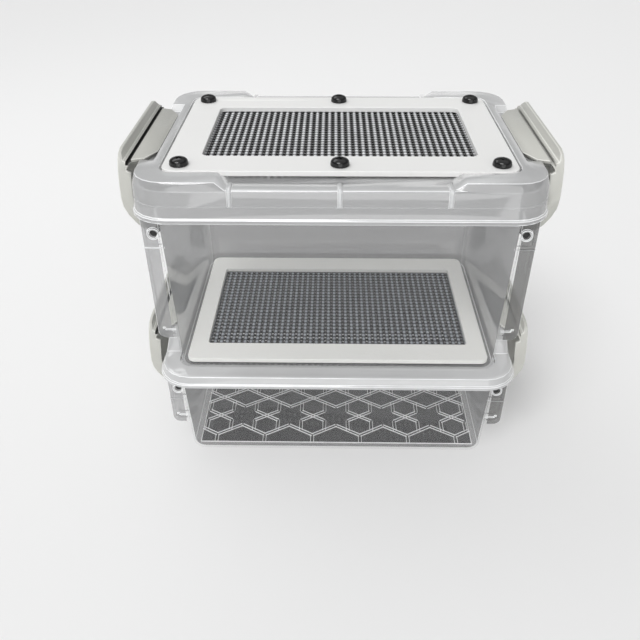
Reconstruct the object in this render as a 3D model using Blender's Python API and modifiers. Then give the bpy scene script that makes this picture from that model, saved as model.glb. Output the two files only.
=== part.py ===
"""Worm breeding box: a sieve box with a latched lid, stacked on a collecting box.

Lengths are in metres. X runs along the long side, Y from the front to the back
and Z up. The origin is the middle of the lower tub's underside.
"""
import math

import bmesh
import bpy
from mathutils import Matrix

# Lids seen from above
LID_WIDTH = 0.2325
LID_DEPTH = 0.1637
LID_CORNER = 0.020
LID_WALL = 0.0016

# Skirt of both lids
SHOULDER_INSET = 0.0007
SHOULDER_DROP = 0.0013
SKIRT_FLARE = 0.0008
BEAD_PROUD = 0.0011
BEAD_CHAMFER = 0.0006
BEAD_HEIGHT = 0.0024

# Heights in the stack, above the lower tub's underside, and above the latches' pivots
LOWER_PIVOT_HEIGHT = 0.0515
UPPER_PIVOT_HEIGHT = 0.1715
LOWER_SKIRT_ABOVE_PIVOT = 0.0180
UPPER_SKIRT_ABOVE_PIVOT = 0.0170
LEDGE_ABOVE_PIVOT = 0.0258
SEAT_ABOVE_PIVOT = 0.0365

# General clearances
SEAT_GAP = 0.0003
OVERRUN = 0.010

# Upper lid: raised border round the plate, cut away in the middle of front and back
BORDER_RISE = 0.0038
BORDER_INSET = 0.0020
BORDER_WALL_LEAN = 0.0005
BORDER_END_WIDTH = 0.0054
NOTCH_FROM_CORNER = 0.05425
NOTCH_RAMP = 0.0055
SEAT_FROM_WING = 0.0170
SEAT_RAMP = 0.0040
SEAT_WALL_LEAN = 0.0006

# Ribs over the edge of the upper lid's notches
LID_RIB_FROM_NOTCH = 0.0022
LID_RIB_WIDTH = 0.0022
LID_RIB_PROUD = 0.0008
LID_RIB_RUN = 0.0085
LID_RIB_DROP = 0.0094

# Vent plate, its window and its screws
PLATE_INSET_X = 0.01625
PLATE_INSET_Y = 0.01705
PLATE_CORNER = 0.0075
PLATE_THICKNESS = 0.0030
PLATE_GAP = 0.0008
VENT_BORDER_X = 0.0200
VENT_BORDER_Y = 0.02205
VENT_CORNER = 0.0045
SCREW_INSET_X = 0.0095
SCREW_INSET_Y = 0.0088
SCREW_RADIUS = 0.0025
SCREW_HOLE_GAP = 0.0003
SCREW_HEAD_RADIUS = 0.0054
SCREW_HEAD_HEIGHT = 0.0041
SCREW_RIM_HEIGHT = 0.0011
SCREW_TAIL = 0.0015
NUT_ACROSS_FLATS = 0.0080
NUT_THICKNESS = 0.0040

# Woven wire, drawn as a flat net with wide wires
WIRE_THICKNESS = 0.0006
WIRE_SHARE = 0.72
VENT_MESH_MARGIN = 0.0060
VENT_GAPS_X = 16
VENT_GAPS_Y = 8
SIEVE_MESH_INSET_X = 0.0065
SIEVE_MESH_INSET_Y = 0.0025
SIEVE_GAPS_X = 16
SIEVE_GAPS_Y = 9

# Sieve frame on the upper tub's floor
FRAME_INSET_X = 0.0050
FRAME_INSET_Y = 0.00325
FRAME_CORNER = 0.005
FRAME_THICKNESS = 0.0030
SIEVE_BORDER_X = 0.01175
SIEVE_BORDER_Y = 0.0175
SIEVE_CORNER = 0.002

# Tubs
TUB_WALL = 0.0015
TUB_TOP_INSET_X = 0.00975
TUB_TOP_INSET_Y = 0.00535
TUB_DRAFT_X = 0.0020
TUB_DRAFT_Y = 0.0070
TUB_TOP_CORNER = 0.012
TUB_BOTTOM_CORNER = 0.010
TUB_FLOOR_EDGE = 0.0020
RIM_CLEARANCE = 0.0008
UPPER_LIP_DROP = 0.0065
LOWER_LIP_DROP = 0.0030
COLLAR_WIDENING = 0.0030
COLLAR_HEIGHT = 0.0020
FLOOR_WINDOW_MARGIN = 0.0015

# Lower lid: platforms under the latches, and the recess that holds the upper tub
PLATFORM_FROM_WING = 0.0090
PLATFORM_RAMP = 0.0012
PLATFORM_EDGE_INSET = 0.0033
RECESS_DEPTH = 0.0026
RECESS_GAP = 0.0005
RECESS_WALL_LEAN = 0.0004
LID_WINDOW_CORNER = 0.006

# Wings that carry the latches
WING_PAST_LID = 0.00025
WING_INSET_Y = 0.0075
WING_THICKNESS = 0.0020
WING_FLANGE_DEPTH = 0.0042
WING_FLANGE_THICKNESS = 0.0015
WING_RIM_GAP = 0.0010
WING_RIB_DROP = 0.0090
WING_RIB_THICKNESS = 0.0014
HOOK_RISE = 0.0062
HOOK_THICKNESS = 0.0012
HOOK_SHARE = 0.62
HOOK_PROUD = 0.0012
FOOT_ABOVE_BASE = 0.0195
FOOT_CORNER = 0.0050
WALL_BITE = 0.0010
BOSS_RADIUS = 0.0038
BOSS_PROUD = 0.0014

# Latches, measured from their pivot axis
PIVOT_INSET = 0.00675
PEG_RADIUS = 0.0022
PEG_GAP = 0.0003
PEG_INSET = 0.0014
LATCH_WALL = 0.0020
LATCH_REACH = 0.0175
LATCH_TOP = 0.0450
LATCH_SHELF_THICKNESS = 0.0022
LATCH_SHELF_INSET = 0.0020
LATCH_SHELF_FROM_WING = 0.0300
LATCH_SHOULDER_FROM_WING = 0.0180
LATCH_SHELF_RUN = 0.0052
LATCH_TOP_FROM_WING = 0.0210
LATCH_FOOT_FROM_WING = 0.0060
LATCH_ARM_EYE = 0.0031
LATCH_EYE_START = math.radians(150)
LATCH_EYE_SWEEP = math.radians(150)
LATCH_RIM_GAP = 0.0012
LATCH_FILLET = 0.0040

# Roundness of the meshes
CORNER_STEPS = 5
HOLE_STEPS = 12
TURN_STEPS = 16
SMOOTH_ANGLE = math.radians(32)

MODEL_NAME = "worm_breeding_box"

# Sizes across, each from its neighbour
PLATE_WIDTH = LID_WIDTH - 2 * PLATE_INSET_X
PLATE_DEPTH = LID_DEPTH - 2 * PLATE_INSET_Y
VENT_WIDTH = PLATE_WIDTH - 2 * VENT_BORDER_X
VENT_DEPTH = PLATE_DEPTH - 2 * VENT_BORDER_Y
SCREW_PITCH_X = PLATE_WIDTH / 2 - SCREW_INSET_X
SCREW_PITCH_Y = PLATE_DEPTH / 2 - SCREW_INSET_Y
TUB_TOP_WIDTH = LID_WIDTH - 2 * TUB_TOP_INSET_X
TUB_TOP_DEPTH = LID_DEPTH - 2 * TUB_TOP_INSET_Y
TUB_BOTTOM_WIDTH = TUB_TOP_WIDTH - 2 * TUB_DRAFT_X
TUB_BOTTOM_DEPTH = TUB_TOP_DEPTH - 2 * TUB_DRAFT_Y
FRAME_WIDTH = TUB_BOTTOM_WIDTH - 2 * FRAME_INSET_X
FRAME_DEPTH = TUB_BOTTOM_DEPTH - 2 * FRAME_INSET_Y
SIEVE_WIDTH = FRAME_WIDTH - 2 * SIEVE_BORDER_X
SIEVE_DEPTH = FRAME_DEPTH - 2 * SIEVE_BORDER_Y
SIEVE_MESH_WIDTH = TUB_BOTTOM_WIDTH - 2 * SIEVE_MESH_INSET_X
SIEVE_MESH_DEPTH = TUB_BOTTOM_DEPTH - 2 * SIEVE_MESH_INSET_Y
NOTCH_HALF = LID_WIDTH / 2 - NOTCH_FROM_CORNER
LID_RIB_PITCH = NOTCH_HALF - LID_RIB_FROM_NOTCH
PIVOT_X = LID_WIDTH / 2 - PIVOT_INSET
WING_REACH = LID_WIDTH / 2 + WING_PAST_LID
WING_FACE = TUB_BOTTOM_DEPTH / 2 - WING_INSET_Y
SEAT_HALF = WING_FACE - SEAT_FROM_WING
PLATFORM_HALF = WING_FACE - PLATFORM_FROM_WING
LATCH_HALF_TOP = WING_FACE - LATCH_TOP_FROM_WING
LATCH_HALF_BOTTOM = WING_FACE - LATCH_FOOT_FROM_WING
LATCH_SHELF_HALF = WING_FACE - LATCH_SHELF_FROM_WING
LATCH_SHELF_SHOULDER = WING_FACE - LATCH_SHOULDER_FROM_WING

# Heights, each from its neighbour
UPPER_SEAT = UPPER_PIVOT_HEIGHT + SEAT_ABOVE_PIVOT
LOWER_SEAT = LOWER_PIVOT_HEIGHT + SEAT_ABOVE_PIVOT
UPPER_SKIRT_BOTTOM = UPPER_PIVOT_HEIGHT + UPPER_SKIRT_ABOVE_PIVOT
LOWER_SKIRT_BOTTOM = LOWER_PIVOT_HEIGHT + LOWER_SKIRT_ABOVE_PIVOT
LOWER_LEDGE_HEIGHT = LOWER_PIVOT_HEIGHT + LEDGE_ABOVE_PIVOT
UPPER_PANEL = UPPER_SEAT - SEAT_GAP
LOWER_PANEL = LOWER_LEDGE_HEIGHT - RECESS_DEPTH
UPPER_BASE = LOWER_PANEL + SEAT_GAP
PLATE_LOW = UPPER_PANEL + WIRE_THICKNESS + 2 * SEAT_GAP
SIEVE_LOW = UPPER_BASE + TUB_WALL + SEAT_GAP
FRAME_LOW = SIEVE_LOW + WIRE_THICKNESS + SEAT_GAP


def clear_scene():
    for item in list(bpy.data.objects):
        bpy.data.objects.remove(item, do_unlink=True)
    for group in list(bpy.data.collections):
        bpy.data.collections.remove(group)


def new_collection(name):
    group = bpy.data.collections.new(name)
    bpy.context.scene.collection.children.link(group)
    return group


def plastic(name, colour, roughness, alpha=1.0, metallic=0.0):
    material = bpy.data.materials.new(name)
    material.use_nodes = True
    shader = material.node_tree.nodes["Principled BSDF"]
    shader.inputs["Base Color"].default_value = (*colour, 1.0)
    shader.inputs["Roughness"].default_value = roughness
    shader.inputs["Metallic"].default_value = metallic
    shader.inputs["Alpha"].default_value = alpha
    material.diffuse_color = (*colour, alpha)
    return material


# Outlines

def corner_arc(centre_x, centre_y, radius, start, steps):
    """Points of a quarter circle that starts at the angle start."""
    points = []
    for step in range(steps + 1):
        angle = start + math.pi / 2 * step / steps
        points.append((centre_x + radius * math.cos(angle), centre_y + radius * math.sin(angle)))
    return points


def rounded_outline(half_x, half_y, radius, xs=(), ys=(), steps=CORNER_STEPS):
    """Anticlockwise rounded rectangle, with extra points at xs on front and back and ys on the ends."""
    inner_x = half_x - radius
    inner_y = half_y - radius
    points = [(x, -half_y) for x in xs]
    points += corner_arc(inner_x, -inner_y, radius, -math.pi / 2, steps)
    points += [(half_x, y) for y in ys]
    points += corner_arc(inner_x, inner_y, radius, 0.0, steps)
    points += [(x, half_y) for x in reversed(xs)]
    points += corner_arc(-inner_x, inner_y, radius, math.pi / 2, steps)
    points += [(-half_x, y) for y in reversed(ys)]
    points += corner_arc(-inner_x, -inner_y, radius, math.pi, steps)
    return points


def circle(centre_x, centre_y, radius, sides):
    points = []
    for side in range(sides):
        angle = 2 * math.pi * (side + 0.5) / sides
        points.append((centre_x + radius * math.cos(angle), centre_y + radius * math.sin(angle)))
    return points


# Solids

def link_mesh(name, mesh, group):
    item = bpy.data.objects.new(name, mesh)
    group.objects.link(item)
    return item


def mesh_from_bmesh(name, shape):
    mesh = bpy.data.meshes.new(name)
    shape.to_mesh(mesh)
    shape.free()
    return mesh


def applied(item):
    """Replaces an object's mesh or curve by what its modifiers make of it."""
    graph = bpy.context.evaluated_depsgraph_get()
    mesh = bpy.data.meshes.new_from_object(item.evaluated_get(graph))
    name = item.name
    matrix = item.matrix_world.copy()
    groups = list(item.users_collection)
    bpy.data.objects.remove(item, do_unlink=True)
    shape = bmesh.new()
    shape.from_mesh(mesh)
    bmesh.ops.remove_doubles(shape, verts=shape.verts, dist=SEAT_GAP / 10)
    bmesh.ops.recalc_face_normals(shape, faces=shape.faces)
    shape.to_mesh(mesh)
    shape.free()
    solid = bpy.data.objects.new(name, mesh)
    solid.matrix_world = matrix
    for group in groups:
        group.objects.link(solid)
    return solid


def flat_solid(name, loops, thickness, matrix, group):
    """A plate from closed outlines in its own XY plane; inner outlines are holes."""
    curve = bpy.data.curves.new(name, "CURVE")
    curve.dimensions = "2D"
    curve.fill_mode = "BOTH"
    curve.extrude = thickness / 2
    for loop in loops:
        spline = curve.splines.new("POLY")
        spline.points.add(len(loop) - 1)
        spline.use_cyclic_u = True
        for point, (x, y) in zip(spline.points, loop):
            point.co = (x, y, 0.0, 1.0)
    item = bpy.data.objects.new(name, curve)
    group.objects.link(item)
    item.matrix_world = matrix
    bpy.context.view_layer.update()
    return applied(item)


def level_plate(name, loops, low, high, group):
    """A flat solid that lies between the heights low and high."""
    matrix = Matrix.Translation((0.0, 0.0, (low + high) / 2))
    return flat_solid(name, loops, high - low, matrix, group)


def frontal_plate(name, loops, near, far, group):
    """A flat solid with its outlines in X and Z, between the places near and far on Y."""
    turn = Matrix.Rotation(math.pi / 2, 4, "X")
    matrix = Matrix.Translation((0.0, (near + far) / 2, 0.0)) @ turn
    return flat_solid(name, loops, abs(far - near), matrix, group)


def endwise_plate(name, loops, near, far, group):
    """A flat solid with its outlines in Y and Z, between the places near and far on X."""
    turn = Matrix.Rotation(math.pi / 2, 4, "Z") @ Matrix.Rotation(math.pi / 2, 4, "X")
    matrix = Matrix.Translation(((near + far) / 2, 0.0, 0.0)) @ turn
    return flat_solid(name, loops, abs(far - near), matrix, group)


def rod_along_y(name, x, z, near, far, radius, group):
    """A round bar that lies along Y between near and far."""
    shape = bmesh.new()
    bmesh.ops.create_cone(
        shape, cap_ends=True, segments=TURN_STEPS, radius1=radius, radius2=radius, depth=abs(far - near)
    )
    item = link_mesh(name, mesh_from_bmesh(name, shape), group)
    turn = Matrix.Rotation(math.pi / 2, 4, "X")
    item.matrix_world = Matrix.Translation((x, (near + far) / 2, z)) @ turn
    return item


def combine(base, tools, operation):
    """Adds the tools to the base or cuts them from it, and hides them as cutters."""
    bpy.context.view_layer.update()
    for tool in tools:
        step = base.modifiers.new(tool.name, "BOOLEAN")
        step.operation = operation
        step.solver = "EXACT"
        step.object = tool
    solid = applied(base)
    for tool in tools:
        tool.hide_render = True
        tool.display_type = "WIRE"
    return solid


def loft(name, rings, group, cap_start=False):
    """An open skin through rings of as many points each, outward faces for rings that go up and out."""
    shape = bmesh.new()
    rows = [[shape.verts.new(point) for point in ring] for ring in rings]
    count = len(rows[0])
    for lower, upper in zip(rows, rows[1:]):
        for index in range(count):
            following = (index + 1) % count
            shape.faces.new((lower[index], lower[following], upper[following], upper[index]))
    if cap_start:
        shape.faces.new(list(reversed(rows[0])))
    bmesh.ops.recalc_face_normals(shape, faces=shape.faces)
    return link_mesh(name, mesh_from_bmesh(name, shape), group)


def solidified(skin, thickness, side):
    """Gives an open skin its wall: side -1 goes against the faces and 1 along them."""
    wall = skin.modifiers.new("wall", "SOLIDIFY")
    wall.thickness = thickness
    wall.offset = side
    wall.use_even_offset = True
    return applied(skin)


def faces_point_up(skin):
    """Turns the skin's faces so that its level ones look up."""
    shape = bmesh.new()
    shape.from_mesh(skin.data)
    lift = sum(face.normal.z * face.calc_area() for face in shape.faces)
    if lift < 0:
        bmesh.ops.reverse_faces(shape, faces=shape.faces)
    shape.to_mesh(skin.data)
    shape.free()


def finish(item, material, smooth=True):
    item.data.materials.clear()
    item.data.materials.append(material)
    if smooth:
        item.data.shade_smooth()
        item.data.set_sharp_from_angle(angle=SMOOTH_ANGLE)
    return item


# Lids

def lid_ring(half_x, half_y, radius, height, notch=None, seat=None, stations=None):
    """One ring of a lid, with its own height in the notches of front and back and on the end seats."""
    xs, ys, notch_half, seat_half = stations
    tiny = SEAT_GAP / 10
    ring = []
    for x, y in rounded_outline(half_x, half_y, radius, xs, ys):
        z = height
        if notch is not None and abs(abs(y) - half_y) < tiny and abs(x) < notch_half + tiny:
            z = notch
        if seat is not None and abs(abs(x) - half_x) < tiny and abs(y) < seat_half + tiny:
            z = seat
        ring.append((x, y, z))
    return ring


def skirt_rings(shoulder_height, skirt_bottom, stations):
    """Shoulder, skirt and bottom bead, which both lids share."""
    half_x = LID_WIDTH / 2
    half_y = LID_DEPTH / 2
    bead_top = skirt_bottom + BEAD_HEIGHT
    rows = (
        (-SHOULDER_INSET, shoulder_height),
        (0.0, shoulder_height - SHOULDER_DROP),
        (SKIRT_FLARE, bead_top + BEAD_CHAMFER),
        (SKIRT_FLARE + BEAD_PROUD, bead_top),
        (SKIRT_FLARE + BEAD_PROUD, skirt_bottom),
    )
    return [
        lid_ring(half_x + out, half_y + out, LID_CORNER + out, height, stations=stations)
        for out, height in rows
    ]


def upper_lid(group, tools, material):
    """Clear lid with a raised border round the vent plate and level seats for the latches."""
    half_x = LID_WIDTH / 2
    half_y = LID_DEPTH / 2
    border_top = UPPER_SEAT + BORDER_RISE
    notch_edge = NOTCH_HALF + NOTCH_RAMP
    seat_edge = SEAT_HALF + SEAT_RAMP
    stations = (
        (-notch_edge, -NOTCH_HALF, NOTCH_HALF, notch_edge),
        (-seat_edge, -SEAT_HALF, SEAT_HALF, seat_edge),
        NOTCH_HALF,
        SEAT_HALF,
    )
    recess_x = PLATE_WIDTH / 2 + PLATE_GAP
    recess_y = PLATE_DEPTH / 2 + PLATE_GAP
    recess_corner = PLATE_CORNER + PLATE_GAP
    border_x = recess_x + BORDER_END_WIDTH
    outer_x = half_x - BORDER_INSET
    outer_y = half_y - BORDER_INSET
    outer_corner = LID_CORNER - BORDER_INSET
    reach = border_x - recess_x
    border_y = recess_y + reach
    lean = BORDER_WALL_LEAN
    seat_x = border_x + SEAT_WALL_LEAN
    seat_y = border_y + SEAT_WALL_LEAN
    rings = [
        lid_ring(
            VENT_WIDTH / 2 + VENT_MESH_MARGIN / 2,
            VENT_DEPTH / 2 + VENT_MESH_MARGIN / 2,
            VENT_CORNER,
            UPPER_PANEL,
            stations=scaled_stations(stations, VENT_WIDTH / PLATE_WIDTH, VENT_DEPTH / PLATE_DEPTH),
        ),
        lid_ring(recess_x, recess_y, recess_corner, UPPER_PANEL, stations=stations),
        lid_ring(
            recess_x + lean, recess_y + lean, recess_corner + lean, border_top, UPPER_SEAT, None, stations
        ),
        lid_ring(border_x, border_y, recess_corner + reach, border_top, UPPER_SEAT, None, stations),
        lid_ring(
            seat_x, seat_y, recess_corner + reach, border_top, UPPER_SEAT, UPPER_SEAT, stations
        ),
        lid_ring(outer_x, outer_y, outer_corner, border_top, UPPER_SEAT, UPPER_SEAT, stations),
    ]
    rings += skirt_rings(UPPER_SEAT - SEAT_GAP, UPPER_SKIRT_BOTTOM, stations)
    skin = loft("upper_lid", rings, group)
    faces_point_up(skin)
    lid = solidified(skin, LID_WALL, -1)
    lid = combine(lid, lid_ribs(tools), "UNION")
    holes = []
    for label, (x, y) in screw_places():
        holes.append(
            level_plate(
                f"lid_screw_hole_{label}",
                [circle(x, y, SCREW_RADIUS + SCREW_HOLE_GAP, HOLE_STEPS)],
                UPPER_PANEL - OVERRUN,
                UPPER_PANEL + OVERRUN,
                tools,
            )
        )
    lid = combine(lid, holes, "DIFFERENCE")
    return finish(lid, material)


def scaled_stations(stations, share_x, share_y):
    """The same stations drawn in for a smaller ring that has no notches or seats."""
    xs, ys, notch_half, seat_half = stations
    return (
        tuple(x * share_x for x in xs),
        tuple(y * share_y for y in ys),
        notch_half,
        seat_half,
    )


def lid_ribs(tools):
    """Short ribs that run over the lid's edge in the front and back notches."""
    ribs = []
    edge = LID_DEPTH / 2
    low = UPPER_SEAT - LID_RIB_DROP
    top = UPPER_SEAT + LID_RIB_PROUD
    for side in (-1, 1):
        outline = [
            (side * (edge - SHOULDER_INSET - LID_RIB_RUN), UPPER_SEAT - LID_WALL / 2),
            (side * (edge - LID_WALL / 2), UPPER_SEAT - LID_WALL),
            (side * (edge - LID_WALL / 2), low),
            (side * (edge + SKIRT_FLARE + LID_RIB_PROUD / 2), low),
            (side * (edge + LID_RIB_PROUD), UPPER_SEAT - SHOULDER_DROP),
            (side * (edge - SHOULDER_INSET), top),
            (side * (edge - SHOULDER_INSET - LID_RIB_RUN), top),
        ]
        for column in (-1, 0, 1):
            middle = column * LID_RIB_PITCH
            ribs.append(
                endwise_plate(
                    f"lid_rib_{side}_{column}",
                    [outline],
                    middle - LID_RIB_WIDTH / 2,
                    middle + LID_RIB_WIDTH / 2,
                    tools,
                )
            )
    return ribs


def lower_lid(group, tools, material):
    """Clear lid with a recess for the upper tub and a platform under each latch."""
    half_x = LID_WIDTH / 2
    half_y = LID_DEPTH / 2
    platform_edge = PLATFORM_HALF + PLATFORM_RAMP
    window_x = SIEVE_WIDTH / 2
    window_y = SIEVE_DEPTH / 2
    stations = (
        (),
        (-platform_edge, -PLATFORM_HALF, PLATFORM_HALF, platform_edge),
        0.0,
        PLATFORM_HALF,
    )
    recess_x = TUB_BOTTOM_WIDTH / 2 + RECESS_GAP
    recess_y = TUB_BOTTOM_DEPTH / 2 + RECESS_GAP
    recess_corner = TUB_BOTTOM_CORNER + RECESS_GAP
    lean = RECESS_WALL_LEAN
    edge = PLATFORM_EDGE_INSET
    ledge = LOWER_LEDGE_HEIGHT
    window_stations = scaled_stations(stations, 1.0, window_y / recess_y / 2)
    rings = [
        lid_ring(window_x, window_y, LID_WINDOW_CORNER, LOWER_PANEL, stations=window_stations),
        lid_ring(recess_x, recess_y, recess_corner, LOWER_PANEL, stations=stations),
        lid_ring(
            recess_x + lean, recess_y + lean, recess_corner + lean, ledge, None, LOWER_SEAT, stations
        ),
        lid_ring(half_x - edge, half_y - edge, LID_CORNER - edge, ledge, None, LOWER_SEAT, stations),
    ]
    rings += skirt_rings(ledge - SEAT_GAP, LOWER_SKIRT_BOTTOM, stations)
    skin = loft("lower_lid", rings, group)
    faces_point_up(skin)
    lid = solidified(skin, LID_WALL, -1)
    return finish(lid, material)


# Tubs

def wall_half_sizes(height, base, rim):
    """Outer half width, half depth and corner radius of a tub's wall at a height."""
    share = (height - base) / (rim - base)
    half_x = (TUB_BOTTOM_WIDTH + (TUB_TOP_WIDTH - TUB_BOTTOM_WIDTH) * share) / 2
    half_y = (TUB_BOTTOM_DEPTH + (TUB_TOP_DEPTH - TUB_BOTTOM_DEPTH) * share) / 2
    radius = TUB_BOTTOM_CORNER + (TUB_TOP_CORNER - TUB_BOTTOM_CORNER) * share
    return half_x, half_y, radius


def ring_at(half_x, half_y, radius, height):
    return [(x, y, height) for x, y in rounded_outline(half_x, half_y, radius)]


def tub(name, base, rim, pivot, wing_top, collar, window, group, tools, material):
    """Clear tub: floor, drafted walls, rim flange and four wings for the latches."""
    low_x, low_y, low_radius = wall_half_sizes(base, base, rim)
    edge = TUB_FLOOR_EDGE
    rings = []
    if window is not None:
        rings.append(ring_at(*window, base))
    rings.append(ring_at(low_x - edge, low_y - edge, low_radius - edge, base))
    rings.append(ring_at(low_x - edge / 4, low_y - edge / 4, low_radius - edge / 4, base + edge / 4))
    half_x, half_y, radius = wall_half_sizes(base + edge, base, rim)
    rings.append(ring_at(half_x, half_y, radius, base + edge))
    widening, collar_drop, lip_drop = collar
    half_x, half_y, radius = wall_half_sizes(rim - collar_drop, base, rim)
    rings.append(ring_at(half_x, half_y, radius, rim - collar_drop))
    if widening > 0:
        half_x += widening
        rings.append(ring_at(half_x, half_y, radius, rim - collar_drop + COLLAR_HEIGHT))
    under_rim = rim - TUB_WALL
    rings.append(ring_at(half_x, half_y, radius, under_rim))
    rim_inset = SHOULDER_INSET + LID_WALL + RIM_CLEARANCE + TUB_WALL
    rim_x = LID_WIDTH / 2 - rim_inset
    rim_y = LID_DEPTH / 2 - rim_inset
    rim_corner = LID_CORNER - rim_inset
    rings.append(ring_at(rim_x, rim_y, rim_corner, under_rim))
    rings.append(ring_at(rim_x, rim_y, rim_corner, under_rim - lip_drop))
    skin = loft(name, rings, group, cap_start=window is None)
    faces_point_out(skin, base, rim)
    body = solidified(skin, TUB_WALL, -1)
    wings = []
    for end in (-1, 1):
        for side in (-1, 1):
            wings += wing(name, end, side, base, rim, pivot, wing_top, tools)
    body = combine(body, wings, "UNION")
    bores = []
    for end in (-1, 1):
        for side in (-1, 1):
            bores.append(
                rod_along_y(
                    f"{name}_bore_{end}_{side}",
                    end * PIVOT_X,
                    pivot,
                    side * (WING_FACE - WING_FLANGE_DEPTH),
                    side * (WING_FACE + OVERRUN),
                    PEG_RADIUS + PEG_GAP,
                    tools,
                )
            )
    body = combine(body, bores, "DIFFERENCE")
    return finish(body, material)


def faces_point_out(skin, base, rim):
    """Turns the tub's skin so that its walls look away from the cavity."""
    shape = bmesh.new()
    shape.from_mesh(skin.data)
    outward = 0.0
    for face in shape.faces:
        middle = face.calc_center_median()
        if base + TUB_FLOOR_EDGE < middle.z < (base + rim) / 2 + OVERRUN:
            outward += face.normal.x * middle.x + face.normal.y * middle.y
    if outward < 0:
        bmesh.ops.reverse_faces(shape, faces=shape.faces)
    shape.to_mesh(skin.data)
    shape.free()


def wing(name, end, side, base, rim, pivot, top, tools):
    """Web, edge flange, foot, rib and boss of one wing, which reach into the tub's wall."""
    foot = base + FOOT_ABOVE_BASE
    tag = f"{name}_wing_{end}_{side}"
    face = side * WING_FACE
    back = side * (WING_FACE - WING_THICKNESS)
    deep = side * (WING_FACE - WING_FLANGE_DEPTH)

    def wall(height):
        return wall_half_sizes(height, base, rim)[0] - WALL_BITE

    corner = corner_arc(
        WING_REACH - FOOT_CORNER, foot + FOOT_CORNER, FOOT_CORNER, -math.pi / 2, CORNER_STEPS
    )
    outline = [(wall(foot), foot)] + corner + [(WING_REACH, top), (wall(top), top)]
    inset = WING_FLANGE_THICKNESS
    inner_corner = corner_arc(
        WING_REACH - FOOT_CORNER,
        foot + FOOT_CORNER,
        FOOT_CORNER - inset,
        -math.pi / 2,
        CORNER_STEPS,
    )
    flange = [(wall(foot), foot)] + corner + [(WING_REACH, top), (WING_REACH - inset, top)]
    flange += list(reversed(inner_corner)) + [(wall(foot + inset), foot + inset)]
    rib_top = pivot - WING_RIB_DROP
    rib_low = rib_top - WING_RIB_THICKNESS
    rib = [
        (wall(rib_low), rib_low),
        (WING_REACH, rib_low),
        (WING_REACH, rib_top),
        (wall(rib_top), rib_top),
    ]
    hook_low = foot + HOOK_RISE
    hook_top = hook_low + HOOK_THICKNESS
    hook_end = wall(hook_low) + (WING_REACH - wall(hook_low)) * HOOK_SHARE
    hook = [
        (wall(hook_low), hook_low),
        (hook_end, hook_low),
        (hook_end + HOOK_THICKNESS, hook_top),
        (hook_end + HOOK_THICKNESS, hook_top + HOOK_THICKNESS),
        (hook_end, hook_top + HOOK_THICKNESS),
        (hook_end - HOOK_THICKNESS / 2, hook_top),
        (wall(hook_top), hook_top),
    ]
    pieces = []
    for label, loop, near, far in (
        ("web", outline, face, back),
        ("flange", flange, face, deep),
        ("rib", rib, face, deep),
        ("hook", hook, side * (WING_FACE + HOOK_PROUD), deep),
    ):
        points = [(end * x, z) for x, z in loop]
        pieces.append(frontal_plate(f"{tag}_{label}", [points], near, far, tools))
    pieces.append(
        rod_along_y(
            f"{tag}_boss",
            end * PIVOT_X,
            pivot,
            back,
            side * (WING_FACE + BOSS_PROUD),
            BOSS_RADIUS,
            tools,
        )
    )
    return pieces


# Latches

def latch_section():
    """Upright lip, shelf root, outer wall and inward chin, in X and Z from the pivot axis."""
    outer = LATCH_REACH
    inner = LATCH_REACH - LATCH_WALL
    shelf_low = SEAT_ABOVE_PIVOT + SEAT_GAP
    shelf_top = shelf_low + LATCH_SHELF_THICKNESS
    root = inner - LATCH_FILLET
    chin_outer_shares = ((1.0, 0.44), (0.96, 0.31), (0.83, 0.19), (0.63, 0.08), (0.36, -0.02))
    chin_inner_shares = ((0.38, 0.03), (0.54, 0.13), (0.72, 0.23), (0.84, 0.34))
    section = [(outer * x, LATCH_TOP * z) for x, z in chin_outer_shares]
    section += [(outer * x, LATCH_TOP * z) for x, z in chin_inner_shares]
    section += [
        (inner, section[0][1]),
        (inner, shelf_low - LATCH_WALL),
        (root, shelf_low),
        (root, shelf_top),
        (inner - LATCH_FILLET / 4, shelf_top + LATCH_FILLET / 4),
        (inner, shelf_top + LATCH_FILLET),
        (inner, LATCH_TOP),
        (outer, LATCH_TOP),
    ]
    return section


def latch_face(inset=0.0):
    """Outline of the latch seen from its end, in Y and Z: narrow top, wide foot, round corners."""
    rise_shares = ((0.97, 0.66), (0.91, 0.43), (0.78, 0.23), (0.63, 0.10), (0.40, 0.0))
    spread = LATCH_HALF_BOTTOM - LATCH_HALF_TOP
    half = [(LATCH_HALF_TOP - inset / 2, LATCH_TOP)]
    for height_share, narrow_share in rise_shares:
        half.append((LATCH_HALF_BOTTOM - spread * narrow_share - inset, LATCH_TOP * height_share))
    half.append((LATCH_HALF_BOTTOM - inset, -LATCH_ARM_EYE))
    right = [(y, z) for y, z in reversed(half)]
    left = [(-y, z) for y, z in half]
    return right + left


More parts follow.
